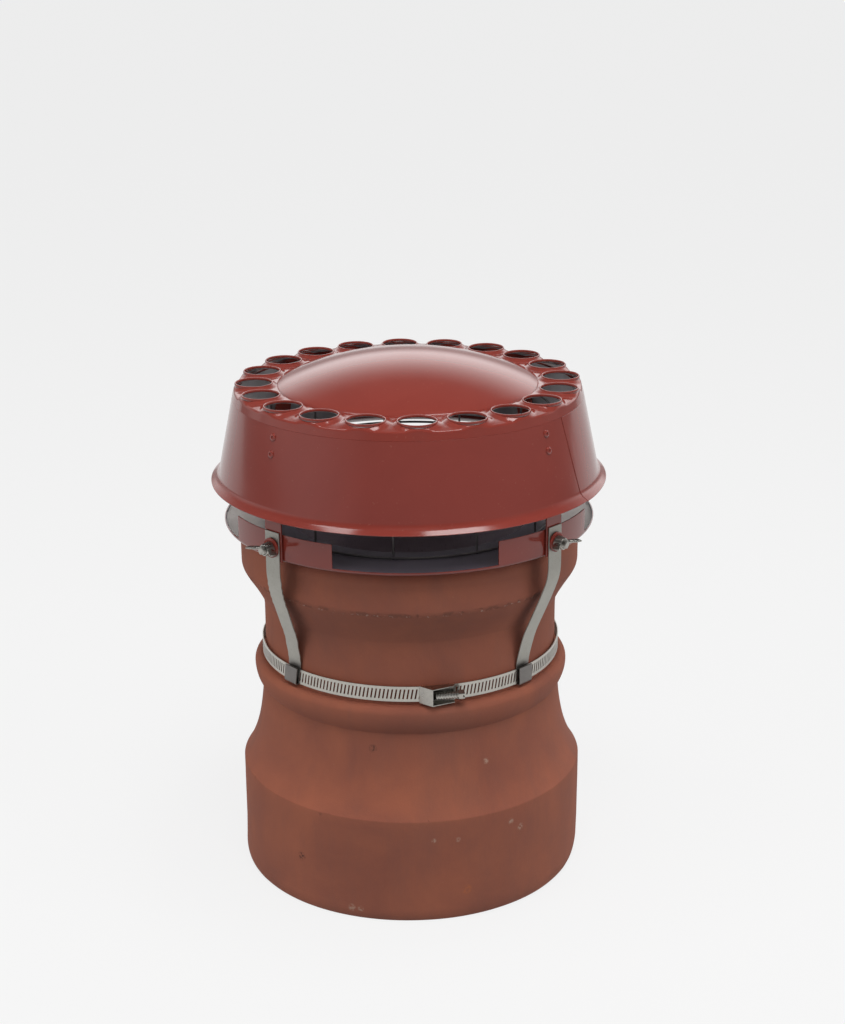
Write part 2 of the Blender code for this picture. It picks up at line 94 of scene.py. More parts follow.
def made(primitive, name, place, scale=(1.0, 1.0, 1.0), **settings):
    """Adds one of Blender's primitives, scaled and then carried to its place."""
    put_down()
    primitive(**settings)
    piece = bpy.context.object
    piece.name = name
    piece.scale = scale
    return laid(piece, piece.rotation_euler, place)


def another(piece, name):
    """A copy with a mesh of its own."""
    take_up(piece)
    bpy.ops.object.duplicate(linked=False)
    copy = bpy.context.object
    copy.name = name
    return copy


def made_one(pieces, name):
    """Joins pieces that are one thing on the real object."""
    take_up(pieces[0])
    for piece in pieces[1:]:
        piece.select_set(True)
    bpy.ops.object.join()
    whole = bpy.context.object
    whole.name = name
    return whole


def finish_with(piece, kind, **settings):
    """Adds one modifier and applies it."""
    take_up(piece)
    step = piece.modifiers.new(kind.title(), kind)
    for key, value in settings.items():
        setattr(step, key, value)
    bpy.ops.object.modifier_apply(modifier=step.name)
    return piece


def rounded(piece, width, segments, degrees):
    """Rounds the edges that are sharper than an angle."""
    return finish_with(piece, "BEVEL", width=width, segments=segments, limit_method="ANGLE",
                       angle_limit=math.radians(degrees))


def thickened(piece, thickness, even=True):
    """Gives an open sheet its thickness, inwards from its outer face."""
    return finish_with(piece, "SOLIDIFY", thickness=thickness, offset=-1.0, use_even_offset=even)


def cut_by(piece, cutter):
    """Cuts one piece out of another."""
    finish_with(piece, "BOOLEAN", operation="DIFFERENCE", solver="EXACT", object=cutter)
    bpy.data.objects.remove(cutter)


def faces_out(piece):
    """Merges doubled points and turns all faces outwards."""
    edit(piece)
    bpy.ops.mesh.remove_doubles(threshold=0.02 * MM)
    bpy.ops.mesh.normals_make_consistent(inside=False)
    put_down()
    return piece


def one_way(piece, wrong):
    """Turns an open sheet's faces all one way, and over if a test says that they look the wrong way."""
    edit(piece)
    bpy.ops.mesh.normals_make_consistent(inside=False)
    put_down()
    if wrong(piece.data.polygons):
        edit(piece)
        bpy.ops.mesh.flip_normals()
        put_down()
    return piece


def look_in(faces):
    """Tells whether faces look towards the pot's axis on the whole."""
    return sum(face.normal.x * face.center.x + face.normal.y * face.center.y for face in faces) < 0


def pull(x, y, z):
    """Extrudes what is selected in edit mode."""
    bpy.ops.mesh.extrude_region_move(TRANSFORM_OT_translate={"value": (x, y, z)})


def spin(steps, sweep=2 * math.pi, copies=False):
    """Sweeps all of the open piece about the pot's axis."""
    bpy.ops.mesh.select_all(action="SELECT")
    bpy.ops.mesh.spin(steps=steps, angle=sweep, dupli=copies, center=(0.0, 0.0, 0.0), axis=(0.0, 0.0, 1.0))


def select_by(piece, mode, kind, test):
    """Selects the points, edges or faces that pass a test, and stays in edit mode."""
    edit(piece, mode)
    bpy.ops.mesh.select_all(action="DESELECT")
    bpy.ops.object.mode_set(mode="OBJECT")
    for item in getattr(piece.data, kind):
        item.select = test(item)
    bpy.ops.object.mode_set(mode="EDIT")


def select_points(piece, test):
    """Selects the points whose places pass a test."""
    select_by(piece, "VERT", "vertices", lambda point: test(point.co))


def select_edges(piece, test):
    """Selects the edges whose two ends pass a test."""
    ends = piece.data.vertices
    select_by(piece, "EDGE", "edges", lambda edge: all(test(ends[end].co) for end in edge.vertices))


def select_faces(piece, test):
    """Selects the faces that pass a test."""
    select_by(piece, "FACE", "polygons", test)


def smooth(piece, degrees=35):
    """Shades a piece smooth, but keeps its sharper edges and leaves flat faces flat beside rounded ones."""
    take_up(piece)
    bpy.ops.object.shade_smooth_by_angle(angle=math.radians(degrees))
    return finish_with(piece, "WEIGHTED_NORMAL", keep_sharp=True)


print("helpers ready")

# %% [markdown]
# ## Turning on a lathe
#
# Nearly every large piece here is round. The quickest way to a round piece is the way a potter or a metal
# spinner works: draw half of its section and turn it about the axis. The section starts from one point, is
# extruded corner by corner, and the Spin tool sweeps it round. Corners are softened before the sweep,
# because no pressed sheet and no clay edge is truly sharp.

# %% Sections and spinning
def eased(path, radius, steps=4):
    """The same open path with its inner corners rounded off."""
    points = [path[0]]
    for before, corner, after in zip(path, path[1:], path[2:]):
        here = Vector(corner)
        back = Vector(before) - here
        on = Vector(after) - here
        cut = min(radius, 0.45 * back.length, 0.45 * on.length)
        start = here + back.normalized() * cut
        end = here + on.normalized() * cut
        for step in range(steps + 1):
            share = step / steps
            points.append(tuple(start.lerp(here, share).lerp(here.lerp(end, share), share)))
    return points + [path[-1]]


def curve(centre, reach, rise, start, end, steps):
    """Points of (radius, height) along an arc or part of an ellipse, with angles in degrees from level."""
    points = []
    for step in range(steps + 1):
        angle = math.radians(start + (end - start) * step / steps)
        points.append((centre[0] + reach * math.cos(angle), centre[1] + rise * math.sin(angle)))
    return points


def drawn(name, points):
    """A line of points in the plane that faces right, as the edge of a section: (radius, height) in front."""
    radius, height = points[0]
    piece = made(bpy.ops.mesh.primitive_plane_add, name, (0.0, -radius, height), size=1 * MM)
    edit(piece)
    bpy.ops.mesh.merge(type="CENTER")
    for (near, low), (far, high) in zip(points, points[1:]):
        step = {"value": (0.0, near - far, high - low)}
        bpy.ops.mesh.extrude_vertices_move(TRANSFORM_OT_translate=step)
    return piece


def turned(name, section, steps):
    """A section turned about the upright axis."""
    piece = drawn(name, section)
    spin(steps)
    return faces_out(piece)


print("a test corner eases into", len(eased([(0, 0), (1, 0), (1, 1)], 0.2)), "points")

# %% [markdown]
# ## Finishes that share an effect
#
# A real coat or a fired clay is never one flat colour. Two effects turn up in most of the finishes below:
# slow clouds of colour with small specks in them, and a fine relief that breaks up the shine. Each is a node
# group that is built once, and each material places it with its own scales.

# %% Two node groups
def wired(tree, kind, inputs=None, **settings):
    """Adds a node, with numbers or other nodes' outputs in its inputs."""
    node = tree.nodes.new(kind)
    for key, value in settings.items():
        setattr(node, key, value)
    for key, value in (inputs or {}).items():
        if isinstance(value, bpy.types.NodeSocket):
            tree.links.new(value, node.inputs[key])
        else:
            node.inputs[key].default_value = value
    return node


def spread(tree, value, low, high, to_low=0.0, to_high=1.0):
    """Spreads a value's range over another."""
    return wired(tree, "ShaderNodeMapRange", {"Value": value, "From Min": low, "From Max": high,
                                              "To Min": to_low, "To Max": to_high}).outputs["Result"]


def noise(tree, place, scale, detail, roughness=0.5, distortion=0.0):
    """A cloud of values between 0 and 1."""
    inputs = {"Vector": place, "Scale": scale, "Detail": detail, "Roughness": roughness,
              "Distortion": distortion}
    return wired(tree, "ShaderNodeTexNoise", inputs).outputs["Fac"]


def size_of(tree, value):
    """A value without its sign."""
    return wired(tree, "ShaderNodeMath", {0: value}, operation="ABSOLUTE").outputs[0]


def times(tree, first, second, more=0.0):
    """Multiplies two values and adds a third."""
    return wired(tree, "ShaderNodeMath", {0: first, 1: second, 2: more}, operation="MULTIPLY_ADD").outputs[0]


def new_group(name, inputs, outputs):
    """An empty node group with value sockets of the given names."""
    group = bpy.data.node_groups.new(name, "ShaderNodeTree")
    group.interface.new_socket(name="Place", in_out="INPUT", socket_type="NodeSocketVector")
    for socket in inputs:
        group.interface.new_socket(name=socket, in_out="INPUT", socket_type="NodeSocketFloat")
    for socket in outputs:
        group.interface.new_socket(name=socket, in_out="OUTPUT", socket_type="NodeSocketFloat")
    return group, group.nodes.new("NodeGroupInput").outputs, group.nodes.new("NodeGroupOutput").inputs


def cloudy_wear():
    """Slow clouds, and specks where a fine noise peaks."""
    inputs = ["Cloud Scale", "Speck Scale", "Speck Share"]
    group, given, out = new_group("cloudy_wear", inputs, ["Clouds", "Specks"])
    cloud = noise(group, given["Place"], given["Cloud Scale"], 5.0, 0.6, 0.4)
    fine = noise(group, given["Place"], given["Speck Scale"], 2.0)
    edge = times(group, given["Speck Share"], -1.0, 1.0)
    top = times(group, given["Speck Share"], -1.0, 1.05)
    group.links.new(spread(group, cloud, 0.3, 0.7), out["Clouds"])
    group.links.new(spread(group, fine, edge, top), out["Specks"])
    return group


def fine_relief():
    """A height mixed from a coarse and a fine noise."""
    group, given, out = new_group("fine_relief", ["Coarse Scale", "Fine Scale", "Fine Share"], ["Height"])
    coarse = noise(group, given["Place"], given["Coarse Scale"], 3.0)
    fine = noise(group, given["Place"], given["Fine Scale"], 6.0, 0.7)
    both = wired(group, "ShaderNodeMix", {"Factor": given["Fine Share"], "A": coarse, "B": fine})
    group.links.new(both.outputs["Result"], out["Height"])
    return group


CLOUDY_WEAR = cloudy_wear()
FINE_RELIEF = fine_relief()
print("groups:", CLOUDY_WEAR.name, FINE_RELIEF.name)

# %% [markdown]
# Every finish starts the same way: a Principled shader, the place on the object, and the two groups. The
# helper returns the parts that differ from one finish to the next.

# %% The start of a finish
class Finish:
    """A material under construction."""

    def __init__(self, name, roughness, metallic, clouds, specks, share):
        self.material = bpy.data.materials.new(name)
        self.material.use_nodes = True
        self.tree = self.material.node_tree
        self.shader = self.tree.nodes["Principled BSDF"]
        self.shader.inputs["Roughness"].default_value = roughness
        self.shader.inputs["Metallic"].default_value = metallic
        self.place = self.add("ShaderNodeTexCoord").outputs["Object"]
        scales = {"Place": self.place, "Cloud Scale": clouds, "Speck Scale": specks, "Speck Share": share}
        wear = self.add("ShaderNodeGroup", scales, node_tree=CLOUDY_WEAR)
        self.clouds = wear.outputs["Clouds"]
        self.specks = wear.outputs["Specks"]

    def add(self, kind, inputs=None, **settings):
        """Adds one node to this material."""
        return wired(self.tree, kind, inputs, **settings)

    def blend(self, factor, first, second):
        """Mixes two colours by a mask."""
        node = self.add("ShaderNodeMix", data_type="RGBA")
        for index, value in ((0, factor), (6, first), (7, second)):
            if isinstance(value, bpy.types.NodeSocket):
                self.tree.links.new(value, node.inputs[index])
            elif index == 0:
                node.inputs[index].default_value = value
            else:
                node.inputs[index].default_value = (*value, 1.0)
        return node.outputs[2]

    def between(self, *values):
        """Spreads a value's range over another."""
        return spread(self.tree, *values)

    def product(self, first, second):
        """Multiplies two values."""
        return times(self.tree, first, second)

    def place_part(self, axis):
        """One coordinate of the place on the object."""
        return self.add("ShaderNodeSeparateXYZ", {"Vector": self.place}).outputs[axis]

    def colour(self, socket):
        """Sets the colour that the light sees."""
        self.tree.links.new(socket, self.shader.inputs["Base Color"])

    def rough(self, low, high):
        """Lets the shine follow the clouds."""
        value = self.between(self.clouds, 0.0, 1.0, low, high)
        self.tree.links.new(value, self.shader.inputs["Roughness"])

    def relief(self, coarse, fine, share, depth, extra=None):
        """Bumps the surface by the relief group, in metres of depth."""
        scales = {"Place": self.place, "Coarse Scale": coarse, "Fine Scale": fine, "Fine Share": share}
        height = self.add("ShaderNodeGroup", scales, node_tree=FINE_RELIEF).outputs["Height"]
        if extra is not None:
            height = self.add("ShaderNodeMath", {0: height, 1: extra}, operation="SUBTRACT").outputs[0]
        node = self.add("ShaderNodeBump", {"Height": height, "Distance": depth, "Strength": 1.0})
        self.tree.links.new(node.outputs["Normal"], self.shader.inputs["Normal"])


print("finish helper ready")

# %% [markdown]
# ## The red coat
#
# The pressings are stoved with a glossy terracotta-red coat. It hides the steel, so it is a plain dielectric
# with a clear shine and no metal in it. A little colour drift, an orange-peel relief of about a hundredth of
# a millimetre and some dust keep the large curves from looking like plastic.

# %% Red coat
def red_coat():
    """Glossy coat with slight drift and dust."""
    finish = Finish("red_coat", 0.13, 0.0, 9.0, 420.0, 0.3)
    base = finish.blend(finish.clouds, (0.195, 0.027, 0.018), (0.228, 0.033, 0.022))
    dusty = finish.blend(finish.product(finish.specks, 0.18), base, (0.36, 0.15, 0.11))
    finish.colour(dusty)
    finish.rough(0.10, 0.17)
    finish.relief(130.0, 900.0, 0.3, 0.008 * MM)
    finish.shader.inputs["Coat Weight"].default_value = 0.1
    finish.shader.inputs["Coat Roughness"].default_value = 0.08
    return finish.material


RED_COAT = red_coat()
print("finish:", RED_COAT.name)

# %% [markdown]
# ## Fired clay
#
# The pot is unglazed terracotta: matt, browner where soot and weather have got into it, with a grain that
# can be felt. Two ridges are chipped, where the shoulder turns and under the rolled rim. The chips are a
# noise that is let through only in a narrow band of height about each ridge, and they darken the clay and
# dent it. Under the roll, pale crumbs show beside them. A few marks of their own, such as a pit or a pale
# scuff, are small round masks at the places where the real pot has them, broken up by a fine noise.

# %% Clay
SHOULDER = 88 * MM
ROLL_RIDGE = 263 * MM


def band_of_height(finish, middle, width):
    """A mask that is 1 on one height and fades over a width."""
    away = times(finish.tree, finish.place_part("Z"), 1.0, -middle)
    return finish.between(size_of(finish.tree, away), 0.3 * width, width, 1.0, 0.0)


def chips(finish, middle, width, scale, share):
    """Irregular chips along one ridge."""
    broken = finish.between(noise(finish.tree, finish.place, scale, 4.0, 0.65), 1.0 - share, 1.04 - share)
    return finish.product(broken, band_of_height(finish, middle, width))


def spot(finish, centre, size):
    """A soft round mask at one place."""
    away = finish.add("ShaderNodeVectorMath", {0: finish.place, 1: centre}, operation="DISTANCE")
    return finish.between(away.outputs["Value"], 0.4 * size, size, 1.0, 0.0)


def around(azimuth, radius, height):
    """A point at an azimuth from the front, a distance from the axis and a height."""
    return Vector((radius * math.sin(azimuth), -radius * math.cos(azimuth), height))


PIT = (0.045, 0.028, 0.024)
SCUFF = (0.42, 0.27, 0.20)
FRESH = (0.45, 0.13, 0.05)
# Each mark has its azimuth in degrees, its radius, height and size in millimetres, and its colour.
CLAY_MARKS = [
    (-16, 126, 144, 2.8, PIT), (-41, 143, 43, 3.4, PIT), (26, 128, 128, 2.2, SCUFF),
    (5, 143, 72, 1.8, SCUFF), (13, 143, 71, 1.8, SCUFF), (32, 143, 77, 2.4, SCUFF), (36, 143, 69, 2.6, SCUFF),
    (-22, 143, 9, 2.8, SCUFF), (-19, 143, 9, 2.2, SCUFF), (16, 143, 25, 3.6, FRESH),
    (100, 143, 52, 3.0, SCUFF), (160, 143, 30, 3.4, PIT), (230, 131, 122, 2.6, SCUFF),
]


def clay():
    """Matt terracotta with weather in it."""
    finish = Finish("weathered_clay", 0.85, 0.0, 14.0, 330.0, 0.26)
    base = finish.blend(finish.clouds, (0.25, 0.082, 0.053), (0.35, 0.113, 0.065))
    drawn_out = finish.add("ShaderNodeMapping", {"Vector": finish.place, "Scale": (1.0, 1.0, 0.25)})
    streaks = noise(finish.tree, drawn_out.outputs["Vector"], 22.0, 5.0, 0.7)
    sooty = finish.blend(finish.between(streaks, 0.48, 0.72, 0.0, 0.38), base, (0.18, 0.08, 0.062))
    grain = finish.blend(finish.product(finish.specks, 0.3), sooty, (0.36, 0.17, 0.10))
    ridge = chips(finish, SHOULDER, 3.0 * MM, 160.0, 0.36)
    rim = chips(finish, ROLL_RIDGE, 2.6 * MM, 170.0, 0.47)
    pale = chips(finish, ROLL_RIDGE - 0.6 * MM, 1.5 * MM, 260.0, 0.42)
    crumbs = finish.between(noise(finish.tree, finish.place, 420.0, 3.0), 0.42, 0.6, 0.05, 0.8)
    chipped = finish.add("ShaderNodeMath", {0: ridge, 1: rim}, operation="MAXIMUM").outputs[0]
    worn = finish.blend(finish.product(chipped, 0.45), grain, (0.13, 0.055, 0.038))
    worn = finish.blend(finish.product(pale, 0.7), worn, (0.46, 0.29, 0.23))
    for azimuth, radius, height, size, colour in CLAY_MARKS:
        place = around(math.radians(azimuth), radius * MM, height * MM)
        ragged = finish.product(spot(finish, place, 1.4 * size * MM), crumbs)
        worn = finish.blend(ragged, worn, colour)
    finish.colour(worn)
    finish.rough(0.78, 0.92)
    finish.relief(55.0, 700.0, 0.45, 0.35 * MM, extra=chipped)
    finish.shader.inputs["Specular IOR Level"].default_value = 0.3
    return finish.material


CLAY = clay()
print("finish:", CLAY.name)

# %% [markdown]
# ## Zinc and plate
#
# The straps are zinc-dipped strip, dull and slightly warm from weather. The band and its screw are brighter
# rolled steel. Both are metals, so their colour sits in the reflection, and what makes them look real is the
# uneven roughness.

# %% Steel finishes
def steel(name, dark, light, low, high, clouds, depth, painted_shade_top=0.0, painted_shade_colour=(0.19, 0.175, 0.17)):
    """A bare metal with uneven shine and specks of stain, with painted shade below a height."""
    finish = Finish(name, low, 1.0, clouds, 900.0, 0.35)
    base = finish.blend(finish.clouds, dark, light)
    stains_and_painted_shade = finish.blend(finish.product(finish.specks, 0.35), base, (0.16, 0.13, 0.10))
    # Painted shade: below a height the colour turns a darker grey, standing in for the shadow on the hooks
    # round the band.
    if painted_shade_top:
        painted_shade_mask = finish.between(finish.place_part("Z"), painted_shade_top - 3 * MM, painted_shade_top + 3 * MM, 0.9, 0.0)
        patchy_painted_shade = finish.product(painted_shade_mask, finish.between(finish.clouds, 0.0, 1.0, 0.75, 1.0))
        stains_and_painted_shade = finish.blend(patchy_painted_shade, stains_and_painted_shade, painted_shade_colour)
    finish.colour(stains_and_painted_shade)
    finish.rough(low, high)
    finish.relief(300.0, 1600.0, 0.5, depth)
    return finish.material


# The straps get painted shade below 202 mm, where their hooks wrap the band in shadow.
ZINC = steel("zinc_dip", (0.32, 0.31, 0.28), (0.42, 0.41, 0.375), 0.45, 0.62, 70.0, 0.02 * MM,
             painted_shade_top=202 * MM)
BAND_STEEL = steel("rolled_band_steel", (0.40, 0.385, 0.35), (0.54, 0.52, 0.475), 0.28, 0.45, 90.0, 0.01 * MM)
PLATED = steel("plated_fixings", (0.30, 0.29, 0.27), (0.46, 0.44, 0.40), 0.22, 0.42, 160.0, 0.01 * MM)
print("finishes:", ZINC.name, BAND_STEEL.name, PLATED.name)


# %% [markdown]
# ## Bare and sooty insides
#
# Only the outside of the sheet is painted. Inside it is bare zinc, dulled by smoke, and the bore of the pot
# is grey with soot. The tray's floor is painted near black as painted shade under the canopy, and paler at
# its two sides as painted light from the windows. Each is a finish of its own, and the faces that point
# inwards are given one after a piece is made.
# The guard's wires are smoked too.

# %% Inside finishes
def smoke_film_and_painted_light(name, metallic, dark, light, low, high, painted_light_from=0.0):
    """A grey film over metal or clay, with uneven shine, and if asked, painted light that makes it pale
    beyond a distance to either side.
    """
    finish = Finish(name, low, metallic, 30.0, 500.0, 0.35)
    base = finish.blend(finish.clouds, dark, light)
    # Painted light: beyond a distance to either side the colour turns pale, standing in for light through the
    # side windows.
    if painted_light_from:
        across = size_of(finish.tree, finish.place_part("X"))
        painted_side_light = finish.between(across, painted_light_from, painted_light_from + 20 * MM)
        base = finish.blend(painted_side_light, base, (0.60, 0.55, 0.52))
    finish.colour(finish.blend(finish.product(finish.specks, 0.3), base, (0.09, 0.07, 0.06)))
    finish.rough(low, high)
    finish.relief(200.0, 1200.0, 0.5, 0.02 * MM)
    return finish.material


BARE_INSIDE = smoke_film_and_painted_light("bare_inside", 0.45, (0.27, 0.25, 0.265), (0.40, 0.375, 0.38), 0.35, 0.5)
SOOTY_CLAY = smoke_film_and_painted_light("sooty_clay", 0.0, (0.30, 0.26, 0.30), (0.38, 0.33, 0.37), 0.8, 0.95)
# The tray's floor: its near-black colour is painted shade under the canopy, and its pale sides are painted
# light.
FLOOR_PAINTED_SHADE_AND_LIGHT = smoke_film_and_painted_light("floor_painted_shade_and_light", 0.0, (0.065, 0.055, 0.072), (0.10, 0.085, 0.107), 0.45, 0.6,
                      painted_light_from=104 * MM)
SMOKED_WIRE = smoke_film_and_painted_light("smoked_wire", 0.8, (0.10, 0.09, 0.10), (0.18, 0.165, 0.16), 0.45, 0.6)


def coat_inside(piece, material, test):
    """Gives the faces that pass a test a second finish."""
    piece.data.materials.append(material)
    select_faces(piece, test)
    piece.active_material_index = len(piece.data.materials) - 1
    bpy.ops.object.material_slot_assign()
    put_down()
    return piece


def faces_axis(face):
    """Tells whether a face looks towards the axis or down."""
    inward = -(face.normal.x * face.center.x + face.normal.y * face.center.y) / face.center.xy.length
    return inward > 0.5 or face.normal.z < -0.7


print("finishes:", BARE_INSIDE.name, SOOTY_CLAY.name, FLOOR_PAINTED_SHADE_AND_LIGHT.name, SMOKED_WIRE.name)

# %% [markdown]
# ## Handing a piece to the frame
#
# A finished piece stands in for the CAD node that it was fitted to, takes one material and rides on the root
# body.

# %% Dressing a node
def dress(piece, material, slot, *nodes):
    """Gives a piece its finish and hands it to the frame."""
    piece.data.materials.clear()
    piece.data.materials.append(material)
    if nodes:
        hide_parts(*nodes)
    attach(piece, "root")
    print(piece.name, "has", len(piece.data.polygons), "faces")
    return piece


# %% [markdown]
# ## The clay pot
#
# A short roll pot is thrown or pressed in one piece: an upright foot, a cove that leans in to a crease, a
# round bead, a straight neck and a rolled rim. The same few sizes that drive the CAD solid draw the section
# here, with many more points along its curves. The foot's outer edge is rubbed away from being stood on
# rough ground, so it is a flat ellipse and not a quarter circle. A slow clouds texture then pushes the
# turned surface about by half a millimetre, because nothing made of clay leaves the kiln quite round.

# %% Pot
GAP = 0.3 * MM
NECK = 121.7 * MM
FOOT_RADIUS = NECK + 21.3 * MM
CREASE = NECK + 2.8 * MM
BEAD = NECK + 9.4 * MM
ROLL = NECK + 17.9 * MM
COVE_STRETCH = 69.5 * MM
COVE_SOFTNESS = 30 * MM
CREASE_HEIGHT = SHOULDER + COVE_STRETCH
BEAD_WIDEST = CREASE_HEIGHT + 18 * MM
NECK_FOOT = BEAD_WIDEST + 7.5 * MM
NECK_TOP = NECK_FOOT + 48 * MM
POT_TOP = ROLL_RIDGE + 37 * MM
WALL = 20 * MM


def pot_section():
    """The pot's closed section, from the foot up the outside and down the bore."""
    rub_in = 3.6 * MM
    rub_up = 13 * MM
    section = curve((FOOT_RADIUS - rub_in, rub_up), rub_in, rub_up, -90, 0, 10)
    section += [(FOOT_RADIUS, share * SHOULDER) for share in (0.35, 0.55, 0.75, 0.92)]
    left = math.exp(-COVE_STRETCH / COVE_SOFTNESS)
    for step in range(25):
        height = SHOULDER + COVE_STRETCH * (step / 24) ** 1.3
        fade = (math.exp(-(height - SHOULDER) / COVE_SOFTNESS) - left) / (1 - left)
        section.append((CREASE + (FOOT_RADIUS - CREASE) * fade, height))
    fall = BEAD_WIDEST - CREASE_HEIGHT
    bulge = BEAD - CREASE
    round_of = (fall ** 2 + bulge ** 2) / (2 * bulge)
    start = -math.degrees(math.asin(fall / round_of))
    section += curve((BEAD - round_of, BEAD_WIDEST), round_of, round_of, start, 0, 9)[1:]
    nose = 6 * MM
    section += curve((BEAD - nose, BEAD_WIDEST), nose, nose, 0, 90, 8)[1:]
    section += eased([section[-1], (NECK, NECK_FOOT - 1.5 * MM), (NECK, NECK_FOOT + 8 * MM)], 3 * MM)[1:]
    section += [(NECK, NECK_FOOT + share * (NECK_TOP - NECK_FOOT)) for share in (0.3, 0.5, 0.7, 0.9)]
    for step in range(1, 15):
        share = step / 14
        section.append((NECK + (ROLL - NECK) * share ** 1.25, NECK_TOP + share * (ROLL_RIDGE - NECK_TOP)))
    soft = 12 * MM
    ridge = eased([section[-3], (ROLL, ROLL_RIDGE + 1 * MM), (ROLL, ROLL_RIDGE + 9 * MM)], 5 * MM)
    section = section[:-3] + ridge
    section += curve((ROLL - soft, POT_TOP - soft), soft, soft, 0, 90, 8)
    mouth = ROLL - 26 * MM
    bore = NECK - WALL
    inside = [(mouth + 6 * MM, POT_TOP), (mouth, POT_TOP - 6 * MM), (mouth, ROLL_RIDGE), (bore, NECK_TOP)]
    inside += [(bore, CREASE_HEIGHT), (FOOT_RADIUS - WALL, SHOULDER - 6 * MM), (FOOT_RADIUS - WALL, 2 * MM)]
    inside += [(FOOT_RADIUS - WALL + 2 * MM, 0.0), section[0]]
    return section + eased([section[-1]] + inside, 9 * MM)[1:]


def pot():
    """Turns the pot and takes the lathe's perfection out of it."""
    piece = turned("clay_pot", pot_section(), 240)
    wobble = bpy.data.textures.new("kiln_wobble", "CLOUDS")
    wobble.noise_scale = 0.07
    finish_with(piece, "DISPLACE", texture=wobble, texture_coords="LOCAL", strength=1.1 * MM, mid_level=0.5)
    select_points(piece, lambda point: point.z < 0.4 * MM)
    bpy.ops.transform.resize(value=(1.0, 1.0, 0.0), center_override=(0.0, 0.0, 0.0))
    bpy.ops.transform.translate(value=(-1.2 * MM, -1.2 * MM, 0.0), use_proportional_edit=True,
                                proportional_edit_falloff="SMOOTH", proportional_size=22 * MM)
    return smooth(piece, 40)


clay_pot = dress(pot(), CLAY, "terracotta", "chimney_pot")
coat_inside(clay_pot, SOOTY_CLAY, lambda face: faces_axis(face) and face.center.xy.length < NECK - 5 * MM
            and face.center.z > 5 * MM)

# %% [markdown]
# ## The tray
#
# The tray is one shallow pressing that sits on the rim, with the flue opening in its floor. Its wall is cut
# away at four windows so that wind can blow across. It is drawn as a bare line, turned, and the window faces
# are deleted before the Solidify modifier gives the sheet its thickness, because that leaves clean square
# edges. The spin has steps of three quarters of a degree, so that the windows end exactly on an edge.

# %% Tray
SHEET = 1.0 * MM
TRAY = ROLL + 12.4 * MM
TRAY_UNDER = POT_TOP + GAP
TRAY_WALL = 22 * MM
WINDOW_HALF = math.radians(24.75)
LIP = 2.6 * MM
QUARTER = math.pi / 2


def azimuth_of(point):
    """How far round from the front a point lies."""
    return math.atan2(point.x, -point.y)


def in_window(face):
    """Tells whether a face of the tray's wall lies in one of the four windows."""
    off = abs((azimuth_of(face.center) + QUARTER / 2) % QUARTER - QUARTER / 2)
    return face.center.z > TRAY_UNDER + LIP and off < WINDOW_HALF


def tray():
    """The pressed tray with its four windows."""
    bend = [(NECK - WALL - 1.7 * MM, TRAY_UNDER), (TRAY, TRAY_UNDER), (TRAY, TRAY_UNDER + TRAY_WALL)]
    line = eased(bend, 2.2 * MM)
    line.insert(-1, (TRAY, TRAY_UNDER + LIP))
    piece = turned("vent_tray", line, 480)
    select_faces(piece, in_window)
    bpy.ops.mesh.delete(type="FACE")
    thickened(piece, SHEET)
    rounded(piece, 0.25 * MM, 2, 50)
    return smooth(piece)


vent_tray = dress(tray(), RED_COAT, "cowl_coat", "base_tray")
FLOOR_TOP = TRAY_UNDER + SHEET
coat_inside(vent_tray, BARE_INSIDE, lambda face: face.center.z > FLOOR_TOP - 0.5 * SHEET
            and (face.normal.z > 0.9 or faces_axis(face)) and face.center.xy.length < TRAY - 0.9 * SHEET)
# The floor's top takes the painted shade and the painted side light.
coat_inside(vent_tray, FLOOR_PAINTED_SHADE_AND_LIGHT, lambda face: abs(face.center.z - FLOOR_TOP) < 0.5 * SHEET
            and face.normal.z > 0.9)

# %% [markdown]
# ## The canopy's pressed top
#
# The top is a shallow dome, a flat ring and a folded edge, all from one disc of sheet. It is turned from a
# line with close steps in the ring, because the ring is about to be pressed. Twenty round holes are cut
# through it with one Boolean. Around each hole the punch pulls the metal up into a low collar: the hole's
# edge points are moved up with proportional editing, which carries the sheet around them along in a soft
# slope, just as the press does.

# %% Top: turned sheet and holes
RISE = 112.5 * MM
RING = TRAY_UNDER + SHEET + RISE
FOLD = 8 * MM
FOLD_EDGE = TRAY - 10.2 * MM
FLARE = 0.206
FLARE_ANGLE = math.atan(FLARE)
FOLD_END = RING - FOLD * (1 - math.sin(FLARE_ANGLE))
HOLES = 20
HOLE = 15 * MM
HOLE_TURN = math.radians(1.2)
HOLE_CIRCLE = FOLD_EDGE - 2.4 * MM - HOLE
DOME = HOLE_CIRCLE - HOLE - 4.4 * MM
DOME_RISE = 22.5 * MM
SUNK = 1.2 * MM
BRINK_FALL = 1.8 * MM
BRINK = RING - SUNK - BRINK_FALL
FOLD_ROUND = 2.2 * MM
RING_STEPS = 40
LEVEL_SHARE = 0.55
SKIRT_TOP = FOLD_END - 3.5 * MM
LAP = 9 * MM


def skirt_at(height):
    """The outside radius of the skirt's cone at a height."""
    return FOLD_EDGE + (FOLD_END - height) * FLARE


